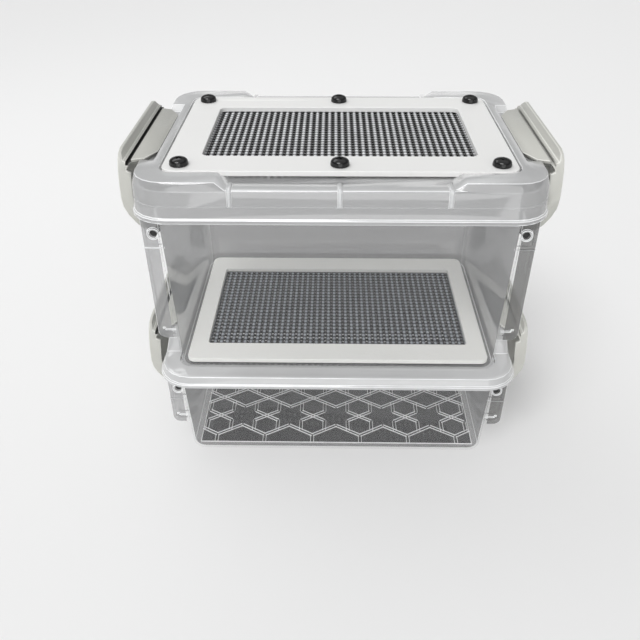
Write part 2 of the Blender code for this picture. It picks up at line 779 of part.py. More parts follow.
def latch_arm(side):
    """Side web of the latch, seen from the front: eye round the peg, neck under the lid's rim, upright."""
    eye = LATCH_ARM_EYE
    outer = LATCH_REACH
    inner = LATCH_REACH - LATCH_WALL
    skirt = LID_WIDTH / 2 + SKIRT_FLARE + BEAD_PROUD - PIVOT_X
    neck_x = skirt + LATCH_RIM_GAP
    neck_top = UPPER_SKIRT_BOTTOM - UPPER_PIVOT_HEIGHT - LATCH_RIM_GAP
    shelf = SEAT_ABOVE_PIVOT + SEAT_GAP
    eye_arc = []
    for step in range(2 * CORNER_STEPS + 1):
        angle = LATCH_EYE_START + LATCH_EYE_SWEEP * step / (2 * CORNER_STEPS)
        eye_arc.append((eye * math.cos(angle), eye * math.sin(angle)))
    window = inner - LATCH_WALL / 2
    back_shares = ((0.63, 0.09), (0.83, 0.20), (0.95, 0.32), (0.943, 0.44), (0.943, 0.93))
    outline = eye_arc + [(outer * x, LATCH_TOP * z) for x, z in back_shares]
    outline += [
        (inner, shelf + LATCH_SHELF_THICKNESS),
        (window - LATCH_WALL, shelf + LATCH_SHELF_THICKNESS / 2),
        (window - LATCH_WALL, shelf - LATCH_WALL),
        (neck_x, shelf - LATCH_WALL - LATCH_WALL / 2),
        (neck_x, neck_top),
        (neck_x - LATCH_WALL, neck_top - LATCH_WALL / 2),
    ]
    return [(side * x, z) for x, z in outline]


def latch(name, side, pivot, group, tools, material):
    """One latch, made round its pivot axis and then set on it."""
    span = LATCH_HALF_BOTTOM + OVERRUN
    section = [(side * x, z) for x, z in latch_section()]
    body = frontal_plate(name, [section], -span, span, group)
    face = endwise_plate(
        f"{name}_face", [latch_face()], -LATCH_REACH - OVERRUN, LATCH_REACH + OVERRUN, tools
    )
    body = combine(body, [face], "INTERSECT")

    shelf_low = SEAT_ABOVE_PIVOT + SEAT_GAP
    inner = LATCH_REACH - LATCH_WALL
    half = [
        (-LATCH_SHELF_INSET, LATCH_SHELF_HALF),
        (2 * LATCH_SHELF_INSET, LATCH_SHELF_SHOULDER - LATCH_WALL / 2),
        (inner - LATCH_SHELF_RUN, LATCH_SHELF_SHOULDER + LATCH_WALL / 2),
        (LATCH_REACH - LATCH_WALL / 2, LATCH_HALF_TOP + LATCH_SHELF_INSET * 4),
    ]
    shelf_outline = [(side * x, y) for x, y in half] + [(side * x, -y) for x, y in reversed(half)]
    shelf = level_plate(
        f"{name}_shelf", [shelf_outline], shelf_low, shelf_low + LATCH_SHELF_THICKNESS, tools
    )

    pieces = [shelf]
    arm = latch_arm(side)
    for row in (-1, 1):
        web = frontal_plate(f"{name}_arm_{row}", [arm], row * LATCH_HALF_TOP / 2, row * span, tools)
        outer_face = latch_face()
        inner_face = latch_face(LATCH_WALL)
        shell = endwise_plate(
            f"{name}_arm_shell_{row}",
            [outer_face],
            -LATCH_REACH - OVERRUN,
            LATCH_REACH + OVERRUN,
            tools,
        )
        hollow = endwise_plate(
            f"{name}_arm_hollow_{row}",
            [open_ended(inner_face)],
            -LATCH_REACH - 2 * OVERRUN,
            LATCH_REACH + 2 * OVERRUN,
            tools,
        )
        web = combine(web, [shell], "INTERSECT")
        web = combine(web, [hollow], "DIFFERENCE")
        pieces.append(web)
        peg = rod_along_y(
            f"{name}_peg_{row}",
            0.0,
            0.0,
            row * (LATCH_HALF_BOTTOM - LATCH_WALL),
            row * (WING_FACE + BOSS_PROUD - PEG_INSET),
            PEG_RADIUS,
            tools,
        )
        pieces.append(peg)
    body = combine(body, pieces, "UNION")
    body.location = (side * PIVOT_X, 0.0, pivot)
    return finish(body, material)


def open_ended(outline):
    """Stretches an outline past the latch's top and foot so that only its sides are left."""
    top = max(z for _, z in outline)
    low = min(z for _, z in outline)
    points = []
    for y, z in outline:
        if z == top:
            z += OVERRUN
        if z == low:
            z -= OVERRUN
        points.append((y, z))
    return points


# Vent plate, sieve frame, nets and fasteners

def screw_places():
    """Name and place of each screw, in two rows of three."""
    places = []
    for row, depth in ((-1, "front"), (1, "back")):
        for column, side in ((-1, "left"), (0, "middle"), (1, "right")):
            places.append((f"{depth}_{side}", (column * SCREW_PITCH_X, row * SCREW_PITCH_Y)))
    return places


def vent_plate(group, material):
    loops = [
        rounded_outline(PLATE_WIDTH / 2, PLATE_DEPTH / 2, PLATE_CORNER),
        rounded_outline(VENT_WIDTH / 2, VENT_DEPTH / 2, VENT_CORNER),
    ]
    bore = SCREW_RADIUS + SCREW_HOLE_GAP
    loops += [circle(x, y, bore, HOLE_STEPS) for _, (x, y) in screw_places()]
    plate = level_plate("vent_plate", loops, PLATE_LOW, PLATE_LOW + PLATE_THICKNESS, group)
    return finish(plate, material)


def sieve_frame(group, material):
    loops = [
        rounded_outline(FRAME_WIDTH / 2, FRAME_DEPTH / 2, FRAME_CORNER),
        rounded_outline(SIEVE_WIDTH / 2, SIEVE_DEPTH / 2, SIEVE_CORNER),
    ]
    frame = level_plate("sieve_frame", loops, FRAME_LOW, FRAME_LOW + FRAME_THICKNESS, group)
    return finish(frame, material)


def net(name, width, depth, window_width, window_depth, gaps_x, gaps_y, low, group, material):
    """A flat net: square gaps in the window's area and a plain margin round it."""
    def places(size, window, gaps):
        pitch = window / (gaps - WIRE_SHARE)
        start = -window / 2
        marks = [-size / 2]
        for gap in range(gaps):
            marks.append(start + gap * pitch)
            marks.append(start + (gap + 1 - WIRE_SHARE) * pitch)
        marks.append(size / 2)
        return marks

    xs = places(width, window_width, gaps_x)
    ys = places(depth, window_depth, gaps_y)
    shape = bmesh.new()
    bmesh.ops.create_grid(shape, x_segments=len(xs) - 1, y_segments=len(ys) - 1, size=1.0)
    for vert in shape.verts:
        column = round((vert.co.x + 1) / 2 * (len(xs) - 1))
        row = round((vert.co.y + 1) / 2 * (len(ys) - 1))
        vert.co = (xs[column], ys[row], low)
    openings = []
    for face in shape.faces:
        middle = face.calc_center_median()
        column = sum(x < middle.x for x in xs)
        row = sum(y < middle.y for y in ys)
        if column % 2 == 0 and row % 2 == 0:
            openings.append(face)
    bmesh.ops.delete(shape, geom=openings, context="FACES")
    sheet = link_mesh(name, mesh_from_bmesh(name, shape), group)
    faces_point_up(sheet)
    sheet = solidified(sheet, WIRE_THICKNESS, 1)
    return finish(sheet, material, smooth=False)


def screws(group, tools, material):
    """Pan head screws down through the plate and the lid."""
    seat = PLATE_LOW + PLATE_THICKNESS + SEAT_GAP
    tail = UPPER_PANEL - LID_WALL - SEAT_GAP - NUT_THICKNESS - SCREW_TAIL
    dome_shares = ((0.0, 1.0), (0.45, 0.93), (0.80, 0.72), (0.98, 0.42))
    profile = [(SCREW_HEAD_RADIUS * r, SCREW_HEAD_HEIGHT * z) for r, z in dome_shares]
    profile += [
        (SCREW_HEAD_RADIUS, SCREW_RIM_HEIGHT),
        (SCREW_HEAD_RADIUS, 0.0),
        (SCREW_RADIUS, 0.0),
        (SCREW_RADIUS, tail - seat),
        (0.0, tail - seat),
    ]
    shape = bmesh.new()
    points = [shape.verts.new((r, 0.0, z)) for r, z in profile]
    for first, second in zip(points, points[1:]):
        shape.edges.new((first, second))
    blank = link_mesh("screw_blank", mesh_from_bmesh("screw_blank", shape), tools)
    turn = blank.modifiers.new("turn", "SCREW")
    turn.axis = "Z"
    turn.steps = TURN_STEPS
    turn.render_steps = TURN_STEPS
    turn.use_merge_vertices = True
    turn.merge_threshold = SEAT_GAP / 10
    blank = finish(applied(blank), material)
    for label, (x, y) in screw_places():
        item = link_mesh(f"plate_screw_{label}", blank.data, group)
        item.location = (x, y, seat)
    bpy.data.objects.remove(blank, do_unlink=True)


def nuts(group, material):
    top = UPPER_PANEL - LID_WALL - SEAT_GAP
    corner = NUT_ACROSS_FLATS / 2 / math.cos(math.pi / 6)
    for label, (x, y) in screw_places():
        loops = [
            circle(x, y, corner, 6),
            circle(x, y, SCREW_RADIUS + SCREW_HOLE_GAP, HOLE_STEPS),
        ]
        item = level_plate(f"screw_nut_{label}", loops, top - NUT_THICKNESS, top, group)
        finish(item, material, smooth=False)


def main():
    clear_scene()
    group = new_collection(MODEL_NAME)
    tools = new_collection("cutters")
    clear = plastic("clear_polypropylene", (0.82, 0.84, 0.84), 0.12, alpha=0.35)
    white = plastic("white_board", (0.90, 0.90, 0.89), 0.45)
    beige = plastic("grey_beige_latch", (0.60, 0.60, 0.56), 0.42)
    wire = plastic("woven_steel", (0.42, 0.43, 0.45), 0.38, metallic=0.9)
    black = plastic("black_screw", (0.012, 0.012, 0.013), 0.22)
    zinc = plastic("zinc_nut", (0.62, 0.63, 0.64), 0.32, metallic=1.0)

    sieve_window = (
        SIEVE_WIDTH / 2 + FLOOR_WINDOW_MARGIN,
        SIEVE_DEPTH / 2 + FLOOR_WINDOW_MARGIN,
        SIEVE_CORNER + FLOOR_WINDOW_MARGIN,
    )
    lower_rim = LOWER_LEDGE_HEIGHT - LID_WALL - 2 * SEAT_GAP
    upper_rim = UPPER_SEAT - LID_WALL - 2 * SEAT_GAP
    tub(
        "lower_tub",
        0.0,
        lower_rim,
        LOWER_PIVOT_HEIGHT,
        LOWER_SKIRT_BOTTOM - WING_RIM_GAP,
        (COLLAR_WIDENING, lower_rim - LOWER_SKIRT_BOTTOM, LOWER_LIP_DROP),
        None,
        group,
        tools,
        clear,
    )
    tub(
        "upper_tub",
        UPPER_BASE,
        upper_rim,
        UPPER_PIVOT_HEIGHT,
        UPPER_SKIRT_BOTTOM - WING_RIM_GAP,
        (0.0, UPPER_LIP_DROP, UPPER_LIP_DROP),
        sieve_window,
        group,
        tools,
        clear,
    )
    lower_lid(group, tools, clear)
    upper_lid(group, tools, clear)
    for label, side in (("left", -1), ("right", 1)):
        latch(f"lower_latch_{label}", side, LOWER_PIVOT_HEIGHT, group, tools, beige)
        latch(f"upper_latch_{label}", side, UPPER_PIVOT_HEIGHT, group, tools, beige)
    vent_plate(group, white)
    sieve_frame(group, white)
    net(
        "vent_mesh",
        VENT_WIDTH + 2 * VENT_MESH_MARGIN,
        VENT_DEPTH + 2 * VENT_MESH_MARGIN,
        VENT_WIDTH,
        VENT_DEPTH,
        VENT_GAPS_X,
        VENT_GAPS_Y,
        UPPER_PANEL + SEAT_GAP,
        group,
        wire,
    )
    net(
        "sieve_mesh",
        SIEVE_MESH_WIDTH,
        SIEVE_MESH_DEPTH,
        SIEVE_WIDTH,
        SIEVE_DEPTH,
        SIEVE_GAPS_X,
        SIEVE_GAPS_Y,
        SIEVE_LOW,
        group,
        wire,
    )
    screws(group, tools, black)
    nuts(group, zinc)


main()
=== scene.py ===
"""Looks of the worm breeding box: clear tubs and lids, woven mesh, white plates, beige latches."""

import math

import bmesh
import bpy
from mathutils import Matrix, Vector


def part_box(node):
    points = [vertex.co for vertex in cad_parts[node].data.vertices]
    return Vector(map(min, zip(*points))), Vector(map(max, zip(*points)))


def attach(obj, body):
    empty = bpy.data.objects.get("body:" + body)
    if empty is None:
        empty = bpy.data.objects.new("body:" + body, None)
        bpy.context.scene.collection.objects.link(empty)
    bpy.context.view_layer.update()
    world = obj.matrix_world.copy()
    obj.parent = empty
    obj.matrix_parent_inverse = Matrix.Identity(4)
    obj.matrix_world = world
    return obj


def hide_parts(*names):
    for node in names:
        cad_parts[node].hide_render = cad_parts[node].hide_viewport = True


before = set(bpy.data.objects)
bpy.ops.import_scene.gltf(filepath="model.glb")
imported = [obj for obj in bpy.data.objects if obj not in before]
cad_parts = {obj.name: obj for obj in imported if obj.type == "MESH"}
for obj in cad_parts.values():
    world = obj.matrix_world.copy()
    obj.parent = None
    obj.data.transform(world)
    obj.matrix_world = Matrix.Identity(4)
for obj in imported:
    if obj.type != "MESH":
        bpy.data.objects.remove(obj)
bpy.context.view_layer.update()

# Camera, read from the photograph
CAMERA_PLACE = (-0.0045, -0.4185, 0.3633)
CAMERA_PITCH = 35.43
CAMERA_YAW = 1.105
CAMERA_ROLL = -0.226
CAMERA_LENS = 38.46
SENSOR_WIDTH = 36.0
CLIP_START = 0.01

# Floor and world. The sky's strength falls from left to right, and glossy rays see bands by height
BACKGROUND = (0.83, 0.83, 0.83)
FLOOR_COLOUR = (0.83, 0.83, 0.83)
FLOOR_ROUGHNESS = 0.9
FLOOR_SPECULAR = 0.05
FLOOR_SIZE = 6.0
SKY_STRENGTH = 0.58
SKY_LEFT = 1.45
SKY_RIGHT = 0.55
MIRRORED_STOPS = ((0.55, 1.0), (0.64, 0.35), (0.80, 0.30), (0.90, 1.0))
TRANSPARENT_BOUNCES = 48

# Lamps
KEY_PLACE = (-0.40, -0.8, 1.4)
KEY_STRENGTH = 1.55
KEY_ANGLE = 34.0
FILL_PLACE = (0.1, -1.2, 0.45)
FILL_STRENGTH = 0.75
FILL_ANGLE = 50.0
STRIP_PLACE = (-0.5, 0.5, 1.0)
STRIP_TARGET = (0.0, 0.0, 0.15)
STRIP_SIZE = (0.9, 0.35)
STRIP_POWER = 1.6

# Clear plastic: a colour with its alpha. The lids have outer, inner and upper faces, and what
# the tubs have in pairs is for the left and the right end. The tubs' inner faces carry painted
# shade of the box's inside, nearly black on the lower tub's floor; the end walls' inner faces
# and the wings carry painted light and shade, darker on the right than on the left; the lids'
# upper faces carry painted light
TUB_OUTER = ((0.62, 0.63, 0.64), 0.10)
TUB_INNER_PAINTED_SHADE = ((0.215, 0.215, 0.217), 0.76)
TUB_ENDS_PAINTED_LIGHT_AND_SHADE = (((0.56, 0.563, 0.567), 0.88), ((0.37, 0.372, 0.375), 0.90))
TUB_WINGS_PAINTED_SHADE = (((0.27, 0.273, 0.277), 0.72), ((0.09, 0.09, 0.087), 0.84))
TUB_GROUND_PAINTED_SHADE = ((0.030, 0.030, 0.032), 0.94)
LOWER_LID = (
    ((0.56, 0.565, 0.57), 0.82),
    ((0.42, 0.42, 0.425), 0.45),
    ((0.64, 0.645, 0.65), 0.84),
)
UPPER_LID = (
    ((0.38, 0.383, 0.386), 0.80),
    ((0.38, 0.383, 0.386), 0.45),
    ((0.58, 0.585, 0.59), 0.86),
)
# Painted highlights: the bevels on the plastics' edges, the upper lid's ribs, the fine lines and
# the floor pattern are coloured lighter than the plastic to stand for the light they catch
EDGE_HIGHLIGHT = ((0.90, 0.91, 0.92), 0.85)
LID_RIB_HIGHLIGHT = ((0.72, 0.73, 0.74), 0.75)
FAINT_LINE_HIGHLIGHT = ((0.60, 0.61, 0.62), 0.30)
PATTERN_HIGHLIGHT = ((0.97, 0.975, 0.98), 1.0)

# Clear plastic: which faces the painted shade and painted light reach, and how light and gloss
# behave
INWARD = -0.004
END_FACING = 0.75
UP_FACING = 0.7
WING_START = 0.1072
GROUND_HEIGHT = 0.0035
LIGHT_PASSED = 0.75
GRAZING_SHARE = 0.70
GRAZING_STOPS = ((0.0, 0.0), (0.55, 0.0), (0.85, 0.3), (1.0, 1.0))
PLASTIC_IOR = 1.49
PLASTIC_SPECULAR = 0.9
COAT_WEIGHT = 0.7
COAT_ROUGHNESS = 0.03
COAT_IOR = 1.6

# Colours of the solid pieces, and the dark share of each where it is uneven
# The sieve frame's white is set lighter than the plate's as painted light, against the shade
# inside the box
FRAME_WHITE = (0.93, 0.93, 0.90)
PLATE_WHITE = (0.80, 0.80, 0.79)
LATCH_BEIGE = (0.51, 0.51, 0.475)
# Painted light and painted shade on the latches: the light colour for rim highlights and the right
# latches' grooves, the shade for the left latches' grooves and the pegs' ends
LATCH_PAINTED_LIGHT = (0.70, 0.70, 0.66)
LATCH_SHADE = (0.035, 0.035, 0.032)
PEG_SHADE = 0.02
VENT_STEEL = (0.80, 0.81, 0.83)
SIEVE_STEEL = (0.46, 0.49, 0.535)
SCREW_DARK = (0.003, 0.003, 0.003)
SCREW_LIGHT = (0.008, 0.008, 0.009)
NUT_DARK = (0.52, 0.53, 0.55)
NUT_LIGHT = (0.66, 0.67, 0.68)
EDGE_DARK_SHARE = 0.85
BOARD_DARK_SHARE = 0.965
LATCH_DARK_SHARE = 0.93
WIRE_DARK_SHARE = 0.80
WIRE_METALLIC = 0.25
WIRE_SPECULAR = 0.12
SCREW_SPECULAR = 0.45

# Noise: its scale and its detail
NOISE_ROUGHNESS = 0.55
PLASTIC_CLOUD = (9.0, 2.0)
PLASTIC_SCUFF = (160.0, 4.0)
PLASTIC_FLOW = (22.0, 1.5)
EDGE_CLOUD = (60.0, 2.0)
BOARD_CLOUD = (14.0, 3.0)
BOARD_GRAIN = (420.0, 3.0)
LATCH_CLOUD = (18.0, 2.0)
LATCH_GRAIN = (900.0, 2.0)
WIRE_STAIN = (70.0, 3.0)
WIRE_GRAIN = (1400.0, 2.0)
SCREW_WEAR = (260.0, 3.0)
NUT_SPANGLE = (300.0, 2.0)
UNSTRETCHED = (1.0, 1.0, 1.0)
SCUFF_STRETCH = (1.0, 1.0, 0.35)
LATCH_STRETCH = (1.0, 0.3, 1.0)

# Ramps: where two shades lie on the noise, and stops of a place and a value
SHADE_PLACES = (0.3, 0.7)
BOARD_PLACES = (0.25, 0.75)
SCREW_PLACES = (0.35, 0.8)
PLASTIC_CLOUD_STOPS = ((0.3, 0.90), (0.7, 1.0))
PLASTIC_ROUGHNESS = ((0.35, 0.04), (0.75, 0.12))
EDGE_ROUGHNESS = ((0.3, 0.10), (0.7, 0.22))
BOARD_ROUGHNESS = ((0.3, 0.36), (0.7, 0.50))
LATCH_ROUGHNESS = ((0.3, 0.30), (0.7, 0.44))
WIRE_ROUGHNESS = ((0.3, 0.26), (0.7, 0.42))
SCREW_ROUGHNESS = ((0.3, 0.07), (0.75, 0.15))
NUT_ROUGHNESS = ((0.3, 0.24), (0.7, 0.40))
# Painted shade on the wire: darker where it faces sideways and where it lies low
WIRE_SIDE_SHADE_STOPS = ((0.25, 0.01), (0.48, 0.24), (0.72, 1.0))
WIRE_DEPTH_SHADE_STOPS = ((0.05, 0.01), (0.28, 0.06), (0.48, 0.34), (0.68, 1.0))

# Bump: strength and distance. Creases: reach of the painted shade and the share of colour left in
# the deepest
PLASTIC_BUMP = (0.06, 0.0010)
BOARD_BUMP = (0.08, 0.0002)
LATCH_BUMP = (0.12, 0.0001)
LATCH_CREASE_SHADE = (0.006, 0.14)
WIRE_CREASE_SHADE = (0.004, 0.05)
CREASE_PLACES = (0.25, 0.85)
CREASE_SAMPLES = 6

# Sockets of the mix node when it mixes colours
MIX_SHARE = 0
MIX_FIRST = 6
MIX_SECOND = 7
MIX_RESULT = 2

# Rounded edges, and the angles past which an edge stays sharp
WELD = 1e-6
FLAT_ANGLE = 1.0
SHARP_ANGLE = 38.0
SMOOTH_ANGLE = 35.0
HEAD_SMOOTH_ANGLE = 40.0
PLASTIC_EDGE = 0.00032
LATCH_EDGE = 0.00045
BOARD_EDGE = 0.00025

# Lids: outline of the skirt, and the short upright ribs on the upper one
LID_HALF_X = 0.11625
LID_HALF_Y = 0.08185
LID_CORNER = 0.020
LID_WALL = 0.0016
LID_RIB_PITCH = 0.0598
LID_RIB_HALF = 0.0012
LID_RIB_DROP = 0.0100
UPPER_SHOULDER = 0.2080

# Fine raised lines round the upper lid's skirt, coloured as painted highlights
LINE_WIDTH = 0.0007
LINE_CORNER_STEPS = 10
LINE_SECTION_SHARES = ((0.0, -0.5), (1.0, -0.2), (1.0, 0.2), (0.0, 0.5))
UPPER_LINE = 0.1985
UPPER_LINE_OUT = 0.0003
UPPER_LINE_DEPTH = 0.00035
FOOT_LINE = 0.1888
FOOT_LINE_OUT = 0.0012
FOOT_LINE_DEPTH = 0.0006

# Latches: where the pegs' ends get painted shade, and the groove at the foot of the lip, from the
# pivot
LOWER_PIVOT = 0.0515
UPPER_PIVOT = 0.1715
PIVOT_X = 0.1095
PEG_START = 0.0605
GROOVE_NEAR = 0.0110
GROOVE_FAR = 0.0130
GROOVE_FLOOR = 0.0377
GROOVE_ROOF = 0.0480
GROOVE_HALF_LENGTH = 0.0700

# Wings: painted highlights on the rims of the bosses and along the edge of the rib that shows
# through
BOSS_FACE = 0.0634
BOSS_RING_RADIUS = 0.0034
BOSS_RING_WIRE = 0.00035
BOSS_RING_SIDES = 6
BOSS_STEPS = 28
WING_FACE = 0.0620
WING_LINE_DROP = 0.0097
WING_LINE_START = 0.1040
WING_LINE_END = 0.1165
WING_LINE_WIDTH = 0.0008
WING_LINE_PROUD = 0.0003

# Woven wire
WEAVE_PITCH = 0.0041
WEAVE_SWING = 0.00045
WEAVE_STEPS = 6
WEAVE_MARGIN = 0.0015
WIRE_HALF_WIDTH = 0.00142
CROSS_WIRE_HALF_WIDTH = 0.00130
WIRE_HALF_THICKNESS = 0.00045
WIRE_SIDES = 8

# Raised star and hexagon pattern on the lower tub's floor
TUB_FLOOR = 0.0015
STAR_REACH = 0.0175
PATTERN_FIRST_ROW = -0.0363
PATTERN_HALF_WIDTH = 0.0985
PATTERN_FRONT = -0.0640
PATTERN_BACK = 0.0630
PATTERN_LINE_WIDTH = 0.00046
PATTERN_LINE_APART = 0.0022
PATTERN_LINE_HEIGHT = 0.0005
PATTERN_SECTION_SHARES = ((-0.5, 0.0), (-0.34, 1.0), (0.34, 1.0), (0.5, 0.0))
FRAME_LINE_WIDTH = 0.0006
PARALLEL = 1e-9
SHORTEST_SHARE = 1e-3
SHORTEST_LINE = 1e-6
SAME_LINE_DIGITS = 5

# Screws: domed head with a cross recess, and shank
HEAD_RADIUS = 0.0054
HEAD_HEIGHT = 0.0041
HEAD_RIM = 0.0011
HEAD_SIDES = 40
HEAD_STEPS = 9
DOME_SHARE = 0.985
DOME_SPREAD = 0.9
DOME_RISE = 0.75
RIM_TOP_SHARE = 0.85
RIM_FOOT_SHARE = 0.15
UNDERSIDE_SHARE = 0.97
SHANK_RADIUS = 0.0024
TIP_RADIUS = 0.0018
TIP_LENGTH = 0.0008
RECESS_LENGTH = 0.0056
RECESS_WIDTH = 0.0012
RECESS_DEPTH = 0.0022
RECESS_FOOT_SHARE = 0.55
RECESS_SLOPE_SHARE = 0.3
SCREW_TWIST = 37
SCREW_TWISTS = 5


# Node helpers

def shader_of(name):
    """A new material, its node tree and its main shader."""
    material = bpy.data.materials.new(name)
    material.use_nodes = True
    return material, material.node_tree, material.node_tree.nodes["Principled BSDF"]


def rgba(value):
    """A grey or a colour with full alpha."""
    return (*value, 1.0) if isinstance(value, tuple) else (value, value, value, 1.0)


def shaded(colour, share):
    return tuple(part * share for part in colour)


def feed(tree, value, socket):
    """Links another node's socket to a socket, or gives it a number, a grey or a colour."""
    if hasattr(value, "links"):
        tree.links.new(value, socket)
    else:
        socket.default_value = rgba(value) if socket.type == "RGBA" else value


def coordinates(tree, output):
    """X, Y and Z of the place or the normal in the piece's own space."""
    place = tree.nodes.new("ShaderNodeTexCoord")
    split = tree.nodes.new("ShaderNodeSeparateXYZ")
    tree.links.new(place.outputs[output], split.inputs[0])
    return split.outputs


def object_noise(tree, grain, stretch=UNSTRETCHED):
    """Noise in the piece's own coordinates, so that it stays with the piece as it moves."""
    place = tree.nodes.new("ShaderNodeTexCoord")
    mapping = tree.nodes.new("ShaderNodeMapping")
    mapping.inputs["Scale"].default_value = stretch
    tree.links.new(place.outputs["Object"], mapping.inputs["Vector"])
    noise = tree.nodes.new("ShaderNodeTexNoise")
    noise.inputs["Scale"].default_value, noise.inputs["Detail"].default_value = grain
    noise.inputs["Roughness"].default_value = NOISE_ROUGHNESS
    tree.links.new(mapping.outputs["Vector"], noise.inputs["Vector"])
    return noise.outputs["Fac"]


def ramp(tree, source, stops):
    """A colour ramp over the source; each stop is a place and a grey or a colour."""
    made = tree.nodes.new("ShaderNodeValToRGB")
    elements = made.color_ramp.elements
    while len(elements) < len(stops):
        elements.new(0.5)
    for element, (place, value) in zip(elements, stops):
        element.position = place
        element.color = rgba(value)
    tree.links.new(source, made.inputs["Fac"])
    return made.outputs["Color"]


def two_shades(tree, source, dark, light, places=SHADE_PLACES):
    return ramp(tree, source, tuple(zip(places, (dark, light))))


def bump(tree, shader, height, relief):
    made = tree.nodes.new("ShaderNodeBump")
    made.inputs["Strength"].default_value, made.inputs["Distance"].default_value = relief
    tree.links.new(height, made.inputs["Height"])
    tree.links.new(made.outputs["Normal"], shader.inputs["Normal"])


def mixed(tree, share, first, second):
    """Blends two greys, colours or sockets: 0 gives the first and 1 the second."""
    made = tree.nodes.new("ShaderNodeMix")
    made.data_type = "RGBA"
    feed(tree, share, made.inputs[MIX_SHARE])
    feed(tree, first, made.inputs[MIX_FIRST])
    feed(tree, second, made.inputs[MIX_SECOND])
    return made.outputs[MIX_RESULT]


def multiplied(tree, first, second):
    made = tree.nodes.new("ShaderNodeMix")
    made.data_type = "RGBA"
    made.blend_type = "MULTIPLY"
    feed(tree, 1.0, made.inputs[MIX_SHARE])
    feed(tree, first, made.inputs[MIX_FIRST])
    feed(tree, second, made.inputs[MIX_SECOND])
    return made.outputs[MIX_RESULT]


def math_node(tree, operation, *values):
    made = tree.nodes.new("ShaderNodeMath")
    made.operation = operation
    for socket, value in zip(made.inputs, values):
        feed(tree, value, socket)
    return made.outputs[0]


def crease_shaded(tree, colour, crease):
    """Paints shade into a colour in creases and deep corners, read from ambient occlusion."""
    distance, low = crease
    occlusion = tree.nodes.new("ShaderNodeAmbientOcclusion")
    occlusion.samples = CREASE_SAMPLES
    occlusion.inputs["Distance"].default_value = distance
    shade = two_shades(tree, occlusion.outputs["AO"], low, 1.0, CREASE_PLACES)
    return multiplied(tree, colour, shade)


# Which faces of the clear plastic the painted shade and painted light reach

def inner_side(tree):
    """1 on faces that look towards the middle of the box, 0 on those that look away from it."""
    place = tree.nodes.new("ShaderNodeTexCoord")
    dot = tree.nodes.new("ShaderNodeVectorMath")
    dot.operation = "DOT_PRODUCT"
    for output, socket in zip(("Object", "Normal"), dot.inputs):
        level = tree.nodes.new("ShaderNodeVectorMath")
        level.operation = "MULTIPLY"
        level.inputs[1].default_value = (1.0, 1.0, 0.0)
        tree.links.new(place.outputs[output], level.inputs[0])
        tree.links.new(level.outputs[0], socket)
    return math_node(tree, "LESS_THAN", dot.outputs["Value"], INWARD)


def end_side(tree, side):
    """1 on faces that look away from one of the tub's ends, as that end's inner face does."""
    away = math_node(tree, "MULTIPLY", coordinates(tree, "Normal")["X"], -float(side))
    return math_node(tree, "GREATER_THAN", away, END_FACING)


def top_side(tree):
    """1 on faces that look up."""
    return math_node(tree, "GREATER_THAN", coordinates(tree, "Normal")["Z"], UP_FACING)


def wing_side(tree, side):
    """1 on what stands out past one of the tub's ends, as the wings do."""
    outward = math_node(tree, "MULTIPLY", coordinates(tree, "Object")["X"], float(side))
    return math_node(tree, "GREATER_THAN", outward, WING_START)


def ground_side(tree):
    """1 on the inside of the lower tub's floor, within the pattern's frame."""
    place = coordinates(tree, "Object")
    share = math_node(tree, "LESS_THAN", place["Z"], GROUND_HEIGHT)
    share = math_node(tree, "MULTIPLY", share, top_side(tree))
    for axis, reach in (("X", PATTERN_HALF_WIDTH), ("Y", -PATTERN_FRONT)):
        within = math_node(tree, "LESS_THAN", math_node(tree, "ABSOLUTE", place[axis]), reach)
        share = math_node(tree, "MULTIPLY", share, within)
    return share


def laid_over(tree, under, share, over):
    """The first colour and alpha, and where the share is 1 the second."""
    return tuple(mixed(tree, share, first, second) for first, second in zip(under, over))


def one_sided(material, tree, shader, alpha):
    """Back faces let everything through, as culled ones do, and light passes as if clear."""
    material.use_backface_culling = True
    side = tree.nodes.new("ShaderNodeNewGeometry")
    front = math_node(tree, "SUBTRACT", 1.0, side.outputs["Backfacing"])
    path = tree.nodes.new("ShaderNodeLightPath")
    rays = (path.outputs["Is Shadow Ray"], path.outputs["Is Diffuse Ray"])
    passed = math_node(tree, "MULTIPLY", math_node(tree, "MAXIMUM", *rays), LIGHT_PASSED)
    front = math_node(tree, "MULTIPLY", front, math_node(tree, "SUBTRACT", 1.0, passed))
    tree.links.new(math_node(tree, "MULTIPLY", front, alpha), shader.inputs["Alpha"])


# Materials

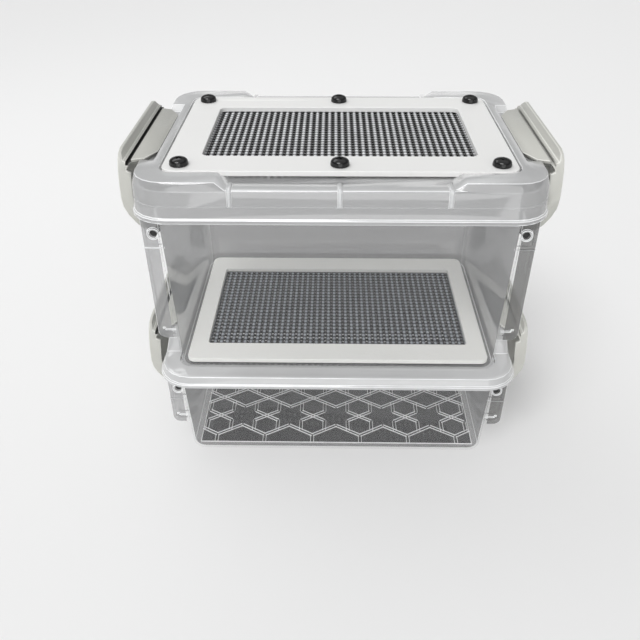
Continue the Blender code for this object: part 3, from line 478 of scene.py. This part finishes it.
def clear_plastic(name, outer, inner, tops=None, ends=(), wings=(), ground=None):
    """Clear plastic. Outer faces let light through; the inner faces' colour is painted shade of
    the box's inside on the tubs, and the ends, wings, upper faces and the lower tub's floor carry
    painted light and shade.
    """
    material, tree, shader = shader_of(name)
    colour_with_painted_light = inner
    for side, painted_tint in zip((-1, 1), ends):
        colour_with_painted_light = laid_over(tree, colour_with_painted_light, end_side(tree, side), painted_tint)
    colour_with_painted_light = laid_over(tree, outer, inner_side(tree), colour_with_painted_light)
    if tops:
        colour_with_painted_light = laid_over(tree, colour_with_painted_light, top_side(tree), tops)
    for side, painted_tint in zip((-1, 1), wings):
        colour_with_painted_light = laid_over(tree, colour_with_painted_light, wing_side(tree, side), painted_tint)
    if ground:
        colour_with_painted_light = laid_over(tree, colour_with_painted_light, ground_side(tree), ground)
    colour, alpha = colour_with_painted_light
    cloud = ramp(tree, object_noise(tree, PLASTIC_CLOUD), PLASTIC_CLOUD_STOPS)
    tree.links.new(multiplied(tree, colour, cloud), shader.inputs["Base Color"])
    scuff = object_noise(tree, PLASTIC_SCUFF, SCUFF_STRETCH)
    tree.links.new(ramp(tree, scuff, PLASTIC_ROUGHNESS), shader.inputs["Roughness"])
    facing = tree.nodes.new("ShaderNodeLayerWeight")
    edge = ramp(tree, facing.outputs["Facing"], GRAZING_STOPS)
    alpha = math_node(tree, "MAXIMUM", alpha, math_node(tree, "MULTIPLY", edge, GRAZING_SHARE))
    one_sided(material, tree, shader, alpha)
    shader.inputs["IOR"].default_value = PLASTIC_IOR
    shader.inputs["Specular IOR Level"].default_value = PLASTIC_SPECULAR
    shader.inputs["Coat Weight"].default_value = COAT_WEIGHT
    shader.inputs["Coat Roughness"].default_value = COAT_ROUGHNESS
    shader.inputs["Coat IOR"].default_value = COAT_IOR
    bump(tree, shader, object_noise(tree, PLASTIC_FLOW), PLASTIC_BUMP)
    return material


def painted_highlight_plastic(name, colour_with_painted_light):
    """Painted highlight: a light colour that stands for the bright line an edge of clear plastic
    shows.
    """
    material, tree, shader = shader_of(name)
    colour, alpha = colour_with_painted_light
    cloud = object_noise(tree, EDGE_CLOUD)
    base = two_shades(tree, cloud, shaded(colour, EDGE_DARK_SHARE), colour)
    tree.links.new(base, shader.inputs["Base Color"])
    tree.links.new(ramp(tree, cloud, EDGE_ROUGHNESS), shader.inputs["Roughness"])
    one_sided(material, tree, shader, alpha)
    return material


def white_board(name, colour):
    material, tree, shader = shader_of(name)
    cloud = object_noise(tree, BOARD_CLOUD)
    base = two_shades(tree, cloud, shaded(colour, BOARD_DARK_SHARE), colour, BOARD_PLACES)
    tree.links.new(base, shader.inputs["Base Color"])
    grain = object_noise(tree, BOARD_GRAIN)
    tree.links.new(ramp(tree, grain, BOARD_ROUGHNESS), shader.inputs["Roughness"])
    bump(tree, shader, grain, BOARD_BUMP)
    return material


def latch_plastic(name, colour):
    """Satin plastic with painted shade in its creases and at the pegs' ends."""
    material, tree, shader = shader_of(name)
    cloud = object_noise(tree, LATCH_CLOUD, LATCH_STRETCH)
    base = two_shades(tree, cloud, shaded(colour, LATCH_DARK_SHARE), colour)
    sideways = math_node(tree, "ABSOLUTE", coordinates(tree, "Object")["Y"])
    # Painted shade on the pegs' ends
    base = mixed(tree, math_node(tree, "GREATER_THAN", sideways, PEG_START), base, PEG_SHADE)
    tree.links.new(crease_shaded(tree, base, LATCH_CREASE_SHADE), shader.inputs["Base Color"])
    grain = object_noise(tree, LATCH_GRAIN)
    tree.links.new(ramp(tree, grain, LATCH_ROUGHNESS), shader.inputs["Roughness"])
    bump(tree, shader, grain, LATCH_BUMP)
    return material


def woven_steel(name, colour, height):
    """Wire with painted shade down its sides, on its low parts and in its hollows, so that holes
    read dark; only its top keeps the full colour.
    """
    material, tree, shader = shader_of(name)
    stain = object_noise(tree, WIRE_STAIN)
    base = two_shades(tree, stain, shaded(colour, WIRE_DARK_SHARE), colour)
    # Painted shade: the wire's sides and low parts are darkened
    side = ramp(tree, coordinates(tree, "Normal")["Z"], WIRE_SIDE_SHADE_STOPS)
    above = math_node(tree, "SUBTRACT", coordinates(tree, "Object")["Z"], height)
    rise = math_node(tree, "DIVIDE", above, WEAVE_SWING + WIRE_HALF_THICKNESS)
    depth = ramp(tree, rise, WIRE_DEPTH_SHADE_STOPS)
    lit = multiplied(tree, multiplied(tree, base, side), depth)
    tree.links.new(crease_shaded(tree, lit, WIRE_CREASE_SHADE), shader.inputs["Base Color"])
    grain = object_noise(tree, WIRE_GRAIN)
    tree.links.new(ramp(tree, grain, WIRE_ROUGHNESS), shader.inputs["Roughness"])
    shader.inputs["Metallic"].default_value = WIRE_METALLIC
    shader.inputs["Specular IOR Level"].default_value = WIRE_SPECULAR
    return material


def black_metal(name):
    material, tree, shader = shader_of(name)
    wear = object_noise(tree, SCREW_WEAR)
    base = two_shades(tree, wear, SCREW_DARK, SCREW_LIGHT, SCREW_PLACES)
    tree.links.new(base, shader.inputs["Base Color"])
    tree.links.new(ramp(tree, wear, SCREW_ROUGHNESS), shader.inputs["Roughness"])
    shader.inputs["Specular IOR Level"].default_value = SCREW_SPECULAR
    return material


def zinc(name):
    material, tree, shader = shader_of(name)
    spangle = object_noise(tree, NUT_SPANGLE)
    tree.links.new(two_shades(tree, spangle, NUT_DARK, NUT_LIGHT), shader.inputs["Base Color"])
    tree.links.new(ramp(tree, spangle, NUT_ROUGHNESS), shader.inputs["Roughness"])
    shader.inputs["Metallic"].default_value = 1.0
    return material


# Building helpers

def smoothed(mesh, angle):
    mesh.shade_smooth()
    mesh.set_sharp_from_angle(angle=math.radians(angle))


def add_object(name, shape, material, smooth=True):
    mesh = bpy.data.meshes.new(name)
    shape.to_mesh(mesh)
    shape.free()
    item = bpy.data.objects.new(name, mesh)
    bpy.context.scene.collection.objects.link(item)
    mesh.materials.append(material)
    if smooth:
        smoothed(mesh, SMOOTH_ANGLE)
    return item


def add_moulding(name, shape, body, material, smooth=True):
    """A fine moulded form of clear plastic that rides a body."""
    piece = add_object(name, shape, material, smooth)
    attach(piece, body)


def add_box(shape, low, high):
    """A box between its lowest and its highest corner. Returns its corners."""
    middle, size = (Vector(low) + Vector(high)) / 2, Vector(high) - Vector(low)
    corners = bmesh.ops.create_cube(shape, size=1.0)["verts"]
    for vert in corners:
        vert.co = middle + Vector(part * span for part, span in zip(vert.co, size))
    return corners


def join_rings(shape, rings):
    """Faces between neighbouring rings of a closed loop."""
    for first, second in zip(rings, rings[1:] + rings[:1]):
        for side in range(len(first)):
            following = (side + 1) % len(first)
            shape.faces.new((first[side], second[side], second[following], first[following]))
    bmesh.ops.recalc_face_normals(shape, faces=shape.faces)


def cut_away(piece, cutter, **options):
    """Cuts one object out of another for good, and deletes the cutter."""
    cut = piece.modifiers.new("cut", "BOOLEAN")
    cut.operation = "DIFFERENCE"
    cut.solver = "EXACT"
    for option, value in options.items():
        setattr(cut, option, value)
    cut.object = cutter
    graph = bpy.context.evaluated_depsgraph_get()
    mesh = bpy.data.meshes.new_from_object(piece.evaluated_get(graph))
    piece.modifiers.clear()
    piece.data = mesh
    bpy.data.objects.remove(cutter, do_unlink=True)


def dress(node_name, material):
    """Gives a CAD node its finished material."""
    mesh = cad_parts[node_name].data
    mesh.materials.clear()
    mesh.materials.append(material)


def middle_height(node_name):
    low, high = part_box(node_name)
    return (low.z + high.z) / 2


# Softened copies of the CAD pieces

def cut_groove(piece, side, pivot, material):
    """Cuts the groove at the foot of a latch's lip, whose faces get a material of their own:
    painted shade on the left latches, painted light on the right.
    """
    low_x, high_x = sorted(side * (PIVOT_X + place) for place in (GROOVE_NEAR, GROOVE_FAR))
    shape = bmesh.new()
    add_box(
        shape,
        (low_x, -GROOVE_HALF_LENGTH, pivot + GROOVE_FLOOR),
        (high_x, GROOVE_HALF_LENGTH, pivot + GROOVE_ROOF),
    )
    cutter = add_object(piece.name + "_groove", shape, material, smooth=False)
    cut_away(piece, cutter, material_mode="TRANSFER")


def on_lid_rib(point):
    """Whether a point lies on one of the short upright ribs of a lid's skirt."""
    beside = min(abs(abs(point.x) - LID_RIB_PITCH), abs(point.x))
    height = UPPER_SHOULDER - point.z
    outside = abs(point.y) > LID_HALF_Y - LID_WALL
    return outside and beside < LID_RIB_HALF and -LID_WALL < height < LID_RIB_DROP


def softened(
    node_name, body, material, edge_material, width, groove=None, rib_material=None
):
    """A copy of a CAD piece with its sharp edges rounded off by small faces in the edge material,
    which on the plastics and latches is a painted highlight.
    """
    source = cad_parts[node_name]
    shape = bmesh.new()
    shape.from_mesh(source.data)
    bmesh.ops.remove_doubles(shape, verts=shape.verts, dist=WELD)
    bmesh.ops.dissolve_limit(
        shape,
        angle_limit=math.radians(FLAT_ANGLE),
        verts=shape.verts,
        edges=shape.edges,
        use_dissolve_boundaries=False,
    )
    for face in shape.faces:
        face.material_index = 0
    sharp = [
        edge
        for edge in shape.edges
        if len(edge.link_faces) == 2 and math.degrees(edge.calc_face_angle()) > SHARP_ANGLE
    ]
    bmesh.ops.bevel(
        shape,
        geom=sharp,
        offset=width,
        segments=1,
        profile=0.5,
        affect="EDGES",
        clamp_overlap=False,
        material=1,
    )
    # Faces of the upper lid's ribs take the rib material, a painted highlight
    for face in shape.faces:
        if rib_material and all(on_lid_rib(vert.co) for vert in face.verts):
            face.material_index = 2
    piece = add_object(node_name + "_soft", shape, material)
    piece.data.materials.append(edge_material)
    if rib_material:
        piece.data.materials.append(rib_material)
    piece.matrix_world = source.matrix_world.copy()
    if groove:
        cut_groove(piece, *groove)
    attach(piece, body)
    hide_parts(node_name)
    return piece


# Woven meshes

def weave(name, node_name, body, material, margin):
    """Straight wires with crimped wires over them, on a CAD net's area and in the net's place."""
    low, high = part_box(node_name)
    middle = (low + high) / 2
    half_x = (high.x - low.x) / 2 - margin
    half_y = (high.y - low.y) / 2 - margin
    columns = int(2 * half_x / WEAVE_PITCH)
    rows = int(2 * half_y / WEAVE_PITCH)
    shape = bmesh.new()
    for index in range(columns + 1):
        across = (index - columns / 2) * WEAVE_PITCH
        add_wire(shape, middle, across, half_y, rows, True)
    for index in range(rows + 1):
        across = (index - rows / 2) * WEAVE_PITCH
        add_wire(shape, middle, across, half_x, columns, False)
    piece = add_object(name, shape, material)
    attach(piece, body)
    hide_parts(node_name)
    return piece


def add_wire(shape, middle, across, half_length, crossings, along_y):
    """One wire: straight along Y, or along X with a rise over each wire that it crosses."""
    reach = crossings * WEAVE_PITCH / 2
    last = crossings * WEAVE_STEPS + 1
    half_width = WIRE_HALF_WIDTH if along_y else CROSS_WIRE_HALF_WIDTH
    rings = []
    for step in (-1, last) if along_y else range(-1, last + 1):
        along = min(max(step * WEAVE_PITCH / WEAVE_STEPS - reach, -half_length), half_length)
        lift = 0.0
        if not along_y:
            lift = WEAVE_SWING * math.cos(2 * math.pi * (along + reach) / WEAVE_PITCH)
        ring = []
        for side in range(WIRE_SIDES):
            angle = 2 * math.pi * side / WIRE_SIDES
            out = across + half_width * math.cos(angle)
            up = lift + WIRE_HALF_THICKNESS * math.sin(angle)
            x, y = (out, along) if along_y else (along, out)
            ring.append(shape.verts.new((middle.x + x, middle.y + y, middle.z + up)))
        rings.append(ring)
    for first, second in zip(rings, rings[1:]):
        for side in range(WIRE_SIDES):
            following = (side + 1) % WIRE_SIDES
            corners = [first[side], first[following], second[following], second[side]]
            shape.faces.new(corners[::-1] if along_y else corners)
    shape.faces.new(rings[0] if along_y else rings[0][::-1])
    shape.faces.new(rings[-1][::-1] if along_y else rings[-1])


# Floor pattern

def pattern_lines():
    """Line pieces of the star and hexagon pattern, clipped to the tub's floor."""
    reach = STAR_REACH
    notch = reach / math.sqrt(3)
    rise = 2 * notch
    row_pitch = 4 * notch
    columns = int(PATTERN_HALF_WIDTH / reach) + 2
    lines = []
    row = PATTERN_FIRST_ROW
    while row < PATTERN_BACK + row_pitch:
        for column in range(-columns, columns + 1):
            x = column * 2 * reach
            for sx in (-1, 1):
                tip = x + sx * reach
                half = x + sx * reach / 2
                for sy in (-1, 1):
                    lines.append(((x, row + sy * notch), (tip, row + sy * rise)))
                    lines.append(((half, row + sy * notch / 2), (tip, row)))
                lines.append(((half, row - notch * 1.5), (half, row - notch / 2)))
                lines.append(((half, row + notch / 2), (half, row + notch * 1.5)))
            if row == PATTERN_FIRST_ROW:
                lines.append(((x + reach, row - rise), (x + reach, row - rise - notch)))
        row += row_pitch
    return [line for line in (clipped(*line) for line in lines) if line]


def clipped(start, end):
    """The part of a line inside the pattern's rectangle, or None."""
    low = (-PATTERN_HALF_WIDTH, PATTERN_FRONT)
    high = (PATTERN_HALF_WIDTH, PATTERN_BACK)
    first, last = 0.0, 1.0
    for axis in range(2):
        run = end[axis] - start[axis]
        if abs(run) < PARALLEL:
            if not low[axis] <= start[axis] <= high[axis]:
                return None
            continue
        entry = (low[axis] - start[axis]) / run
        leave = (high[axis] - start[axis]) / run
        first = max(first, min(entry, leave))
        last = min(last, max(entry, leave))
    if last - first < SHORTEST_SHARE:
        return None
    return tuple(
        tuple(start[axis] + (end[axis] - start[axis]) * share for axis in range(2))
        for share in (first, last)
    )


def add_rib(shape, start, end, width):
    """A raised line with sloped sides on the lower tub's floor."""
    run = Vector((end[0] - start[0], end[1] - start[1]))
    if run.length < SHORTEST_LINE:
        return
    across = Vector((-run.y, run.x)).normalized() * width
    rings = []
    for x, y in (start, end):
        ring = []
        for share, rise in PATTERN_SECTION_SHARES:
            height = TUB_FLOOR + PATTERN_LINE_HEIGHT * rise
            ring.append(shape.verts.new((x + across.x * share, y + across.y * share, height)))
        rings.append(ring)
    for side in range(4):
        following = (side + 1) % 4
        shape.faces.new((rings[0][side], rings[0][following], rings[1][following], rings[1][side]))
    shape.faces.new(rings[0][::-1])
    shape.faces.new(rings[1])


def floor_pattern(material):
    """Each rib of the raised pattern drawn as two thin lines for its two lit edges, inside a
    single line round them; their near-white colour is a painted highlight.
    """
    shape = bmesh.new()
    drawn = set()
    for line in pattern_lines():
        key = tuple(sorted(tuple(round(c, SAME_LINE_DIGITS) for c in point) for point in line))
        if key in drawn:
            continue
        drawn.add(key)
        start, end = (Vector(point) for point in line)
        along = end - start
        if along.length < PATTERN_LINE_APART:
            continue
        along.normalize()
        for side in (-0.5, 0.5):
            shift = Vector((-along.y, along.x)) * PATTERN_LINE_APART * side
            add_rib(shape, start + shift, end + shift, PATTERN_LINE_WIDTH)
    left, right, front, back = -PATTERN_HALF_WIDTH, PATTERN_HALF_WIDTH, PATTERN_FRONT, PATTERN_BACK
    corners = [(left, front), (right, front), (right, back), (left, back)]
    for start, end in zip(corners, corners[1:] + corners[:1]):
        add_rib(shape, start, end, FRAME_LINE_WIDTH)
    bmesh.ops.recalc_face_normals(shape, faces=shape.faces)
    piece = add_object("floor_star_pattern", shape, material, smooth=False)
    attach(piece, "lower_box")
    return piece


# Fine mouldings on the upper lid and the wings, coloured as painted highlights

def lid_line(name, body, height, out, depth, material):
    """A fine raised line round a lid's skirt, in the material given, a painted highlight."""
    half_x, half_y, corner = LID_HALF_X + out, LID_HALF_Y + out, LID_CORNER + out
    shape = bmesh.new()
    rings = []
    for turn, sign_x, sign_y in ((-0.5, 1, -1), (0.0, 1, 1), (0.5, -1, 1), (1.0, -1, -1)):
        for step in range(LINE_CORNER_STEPS + 1):
            angle = math.pi * (turn + 0.5 * step / LINE_CORNER_STEPS)
            ring = []
            for share, up in LINE_SECTION_SHARES:
                radius = corner + depth * share
                x = sign_x * (half_x - corner) + radius * math.cos(angle)
                y = sign_y * (half_y - corner) + radius * math.sin(angle)
                ring.append(shape.verts.new((x, y, height + LINE_WIDTH * up)))
            rings.append(ring)
    join_rings(shape, rings)
    add_moulding(name, shape, body, material)


def boss_ring(name, body, place, side, material):
    """A ring of painted highlight on the rim of the boss that holds a latch's peg."""
    shape = bmesh.new()
    rings = []
    for step in range(BOSS_STEPS):
        angle = 2 * math.pi * step / BOSS_STEPS
        ring = []
        for turn in range(BOSS_RING_SIDES):
            lean = 2 * math.pi * turn / BOSS_RING_SIDES
            radius = BOSS_RING_RADIUS + BOSS_RING_WIRE * math.cos(lean)
            x = place[0] + radius * math.cos(angle)
            y = place[1] + side * BOSS_RING_WIRE * math.sin(lean)
            z = place[2] + radius * math.sin(angle)
            ring.append(shape.verts.new((x, y, z)))
        rings.append(ring)
    join_rings(shape, rings)
    add_moulding(name, shape, body, material)


def wing_line(name, body, end, side, height, material):
    """A line of painted highlight along the edge of the rib behind a wing, which shows through its
    clear face.
    """
    shape = bmesh.new()
    low = (WING_LINE_START, WING_FACE - WING_LINE_PROUD, height - WING_LINE_WIDTH / 2)
    high = (WING_LINE_END, WING_FACE + WING_LINE_PROUD, height + WING_LINE_WIDTH / 2)
    for vert in add_box(shape, low, high):
        vert.co = Vector((vert.co.x * end, vert.co.y * side, vert.co.z))
    bmesh.ops.recalc_face_normals(shape, faces=shape.faces)
    add_moulding(name, shape, body, material, smooth=False)


def mouldings(bright, faint):
    # Both materials are painted highlights, the faint one weaker
    lid_line("upper_lid_line", "upper_box", UPPER_LINE, UPPER_LINE_OUT, UPPER_LINE_DEPTH, faint)
    lid_line("upper_lid_foot_line", "upper_box", FOOT_LINE, FOOT_LINE_OUT, FOOT_LINE_DEPTH, bright)
    for body, height in (("lower_box", LOWER_PIVOT), ("upper_box", UPPER_PIVOT)):
        for end in (-1, 1):
            for side in (-1, 1):
                place = (end * PIVOT_X, side * BOSS_FACE, height)
                boss_ring(f"boss_ring_{body}_{end}_{side}", body, place, side, bright)
                line = height - WING_LINE_DROP
                wing_line(f"wing_line_{body}_{end}_{side}", body, end, side, line, bright)


# Screws

def turned(name, profile, sides, material):
    """A form turned round Z from a profile that starts and ends on the axis."""
    shape = bmesh.new()
    rings = []
    for radius, height in profile:
        count = 1 if radius == 0.0 else sides
        ring = []
        for side in range(count):
            angle = 2 * math.pi * side / sides
            place = (radius * math.cos(angle), radius * math.sin(angle), height)
            ring.append(shape.verts.new(place))
        rings.append(ring)
    for upper, lower in zip(rings, rings[1:]):
        for side in range(sides):
            following = (side + 1) % sides
            if len(upper) == 1:
                shape.faces.new((upper[0], lower[side], lower[following]))
            elif len(lower) == 1:
                shape.faces.new((upper[side], lower[0], upper[following]))
            else:
                shape.faces.new((upper[side], lower[side], lower[following], upper[following]))
    bmesh.ops.recalc_face_normals(shape, faces=shape.faces)
    return add_object(name, shape, material)


def screw_profile(length):
    """Radius and height from the top of the head to the tip, with the seat at height 0."""
    profile = [(0.0, HEAD_HEIGHT)]
    for step in range(1, HEAD_STEPS + 1):
        angle = math.pi / 2 * step / HEAD_STEPS
        radius = HEAD_RADIUS * (DOME_SHARE * math.sin(angle) ** DOME_SPREAD)
        rise = (HEAD_HEIGHT - HEAD_RIM) * math.cos(angle) ** DOME_RISE
        profile.append((radius, HEAD_RIM + rise))
    return profile + [
        (HEAD_RADIUS, HEAD_RIM * RIM_TOP_SHARE),
        (HEAD_RADIUS, HEAD_RIM * RIM_FOOT_SHARE),
        (HEAD_RADIUS * UNDERSIDE_SHARE, 0.0),
        (SHANK_RADIUS, 0.0),
        (SHANK_RADIUS, TIP_LENGTH - length),
        (TIP_RADIUS, -length),
        (0.0, -length),
    ]


def cut_cross(piece, name, material):
    """Cuts a tapered cross recess into the top of a screw's head."""
    shape = bmesh.new()
    for turn in (0.0, math.pi / 2):
        made = bmesh.ops.create_cube(shape, size=1.0)["verts"]
        for vert in made:
            taper = 1.0 if vert.co.z > 0 else RECESS_FOOT_SHARE
            vert.co.x *= RECESS_LENGTH * taper
            vert.co.y *= RECESS_WIDTH * (1 - RECESS_SLOPE_SHARE + RECESS_SLOPE_SHARE * taper)
            vert.co.z = vert.co.z * RECESS_DEPTH * 2 + HEAD_HEIGHT
        matrix = Matrix.Rotation(turn, 3, "Z")
        bmesh.ops.rotate(shape, verts=made, cent=(0, 0, 0), matrix=matrix)
    cut_away(piece, add_object(name, shape, material, smooth=False), use_self=True)


def screw(node_name, material):
    """Pan head screw with a cross recess, in place of the plain CAD screw."""
    low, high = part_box(node_name)
    seat = high.z - HEAD_HEIGHT
    profile = screw_profile(seat - low.z)
    piece = turned(node_name + "_detail", profile, HEAD_SIDES, material)
    cut_cross(piece, node_name + "_cross", material)
    smoothed(piece.data, HEAD_SMOOTH_ANGLE)
    twist = math.radians(SCREW_TWIST * (sum(ord(letter) for letter in node_name) % SCREW_TWISTS))
    place = Matrix.Translation(((low.x + high.x) / 2, (low.y + high.y) / 2, seat))
    piece.matrix_world = place @ Matrix.Rotation(twist, 4, "Z")
    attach(piece, "upper_box")
    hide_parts(node_name)


# Scene

def stage():
    material, _, shader = shader_of("pale_floor")
    shader.inputs["Base Color"].default_value = (*FLOOR_COLOUR, 1.0)
    shader.inputs["Roughness"].default_value = FLOOR_ROUGHNESS
    shader.inputs["Specular IOR Level"].default_value = FLOOR_SPECULAR
    shape = bmesh.new()
    bmesh.ops.create_grid(shape, x_segments=1, y_segments=1, size=FLOOR_SIZE / 2)
    floor = add_object("floor", shape, material, smooth=False)


def surroundings():
    """A world that lights by the sky's strength, and is seen and mirrored as a pale backdrop."""
    world = bpy.data.worlds.new("studio")
    bpy.context.scene.world = world
    world.use_nodes = True
    tree = world.node_tree
    sky = tree.nodes["Background"]
    sky.inputs["Color"].default_value = (*BACKGROUND, 1.0)
    way = coordinates(tree, "Generated")
    rightward = math_node(tree, "MULTIPLY", math_node(tree, "ADD", way["X"], 1.0), 0.5)
    fall = math_node(tree, "MULTIPLY", rightward, SKY_STRENGTH * (SKY_RIGHT - SKY_LEFT))
    feed(tree, math_node(tree, "ADD", fall, SKY_STRENGTH * SKY_LEFT), sky.inputs["Strength"])
    seen = tree.nodes.new("ShaderNodeBackground")
    seen.inputs["Color"].default_value = (*BACKGROUND, 1.0)
    path = tree.nodes.new("ShaderNodeLightPath").outputs
    upward = math_node(tree, "MULTIPLY", math_node(tree, "ADD", way["Z"], 1.0), 0.5)
    mirrored = ramp(tree, upward, MIRRORED_STOPS)
    feed(tree, mixed(tree, path["Is Camera Ray"], mirrored, 1.0), seen.inputs["Strength"])
    shown = math_node(tree, "MAXIMUM", path["Is Camera Ray"], path["Is Glossy Ray"])
    shown = math_node(tree, "MAXIMUM", shown, path["Is Transmission Ray"])
    blend = tree.nodes.new("ShaderNodeMixShader")
    tree.links.new(shown, blend.inputs["Fac"])
    tree.links.new(sky.outputs[0], blend.inputs[1])
    tree.links.new(seen.outputs[0], blend.inputs[2])
    tree.links.new(blend.outputs[0], tree.nodes["World Output"].inputs["Surface"])


def add_lamp(name, data, place, target):
    item = bpy.data.objects.new(name, data)
    bpy.context.scene.collection.objects.link(item)
    item.location = place
    item.rotation_euler = (Vector(target) - Vector(place)).to_track_quat("-Z", "Y").to_euler()


def sun(name, place, strength, angle):
    """A distant lamp, which lights the whole floor evenly."""
    data = bpy.data.lights.new(name, "SUN")
    data.energy = strength
    data.angle = math.radians(angle)
    add_lamp(name, data, place, (0.0, 0.0, 0.0))


def area_light(name, place, target, size, power):
    data = bpy.data.lights.new(name, "AREA")
    data.shape = "RECTANGLE"
    data.size, data.size_y = size
    data.energy = power
    add_lamp(name, data, place, target)


def lights():
    sun("key", KEY_PLACE, KEY_STRENGTH, KEY_ANGLE)
    sun("fill", FILL_PLACE, FILL_STRENGTH, FILL_ANGLE)
    area_light("strip", STRIP_PLACE, STRIP_TARGET, STRIP_SIZE, STRIP_POWER)


def camera():
    data = bpy.data.cameras.new("camera")
    data.lens = CAMERA_LENS
    data.sensor_width = SENSOR_WIDTH
    data.clip_start = CLIP_START
    item = bpy.data.objects.new("camera", data)
    bpy.context.scene.collection.objects.link(item)
    turn = (
        Matrix.Rotation(math.radians(CAMERA_YAW), 4, "Z")
        @ Matrix.Rotation(math.radians(90 - CAMERA_PITCH), 4, "X")
        @ Matrix.Rotation(math.radians(CAMERA_ROLL), 4, "Z")
    )
    item.matrix_world = Matrix.Translation(CAMERA_PLACE) @ turn
    bpy.context.scene.camera = item


def boxes(edge):
    """Both tubs, both lids and the four latches."""
    # The tub's plastic carries painted shade inside and painted light and shade on its ends, wings
    # and floor; the lids carry painted light on their upper faces
    tub = clear_plastic(
        "tub_plastic", TUB_OUTER, TUB_INNER_PAINTED_SHADE, ends=TUB_ENDS_PAINTED_LIGHT_AND_SHADE, wings=TUB_WINGS_PAINTED_SHADE, ground=TUB_GROUND_PAINTED_SHADE
    )
    lids = {
        "lower": clear_plastic("lower_lid_plastic", *LOWER_LID),
        "upper": clear_plastic("upper_lid_plastic", *UPPER_LID),
    }
    pivots = {"lower": LOWER_PIVOT, "upper": UPPER_PIVOT}
    ribs = {"lower": None, "upper": painted_highlight_plastic("lid_rib_plastic", LID_RIB_HIGHLIGHT)}
    beige = latch_plastic("latch_beige_painted_shade", LATCH_BEIGE)
    # The latches' rounded edges get a painted highlight; the left grooves get painted shade and
    # the right ones painted light
    light = latch_plastic("latch_edge_highlight", LATCH_PAINTED_LIGHT)
    grooves = {
        "left": latch_plastic("latch_groove_shaded", LATCH_SHADE),
        "right": latch_plastic("latch_groove_lit", LATCH_PAINTED_LIGHT),
    }
    for level, lid in lids.items():
        body = f"{level}_box"
        softened(f"{level}_tub", body, tub, edge, PLASTIC_EDGE)
        softened(
            f"{level}_lid", body, lid, edge, PLASTIC_EDGE, rib_material=ribs[level]
        )
        for side, sign in (("left", -1), ("right", 1)):
            name = f"{level}_latch_{side}"
            groove = (sign, pivots[level], grooves[side])
            softened(name, name + "_body", beige, light, LATCH_EDGE, groove)


def plates():
    """The vent plate and the sieve frame with their meshes, screws and nuts."""
    plate_white = white_board("white_board_finish", PLATE_WHITE)
    frame_white = white_board("sieve_frame_painted_light", FRAME_WHITE)
    softened("vent_plate", "upper_box", plate_white, plate_white, BOARD_EDGE)
    softened("sieve_frame", "upper_box", frame_white, frame_white, BOARD_EDGE)
    black = black_metal("screw_finish")
    plated = zinc("nut_finish")
    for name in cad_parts:
        if name.startswith("screw_nut"):
            dress(name, plated)
        if name.startswith("plate_screw"):
            screw(name, black)
    vent_wire = woven_steel("vent_wire_painted_shade", VENT_STEEL, middle_height("vent_mesh"))
    sieve_wire = woven_steel("sieve_wire_painted_shade", SIEVE_STEEL, middle_height("sieve_mesh"))
    weave("vent_weave", "vent_mesh", "upper_box", vent_wire, WEAVE_MARGIN)
    weave("sieve_weave", "sieve_mesh", "upper_box", sieve_wire, WEAVE_MARGIN)


def main():
    edge = painted_highlight_plastic("painted_highlight_plastic", EDGE_HIGHLIGHT)
    boxes(edge)
    plates()
    floor_pattern(painted_highlight_plastic("pattern_line_plastic", PATTERN_HIGHLIGHT))
    mouldings(edge, painted_highlight_plastic("faint_line_plastic", FAINT_LINE_HIGHLIGHT))
    stage()
    surroundings()
    lights()
    camera()
    scene = bpy.context.scene
    scene.view_settings.view_transform = "Standard"
    scene.cycles.transparent_max_bounces = TRANSPARENT_BOUNCES


main()
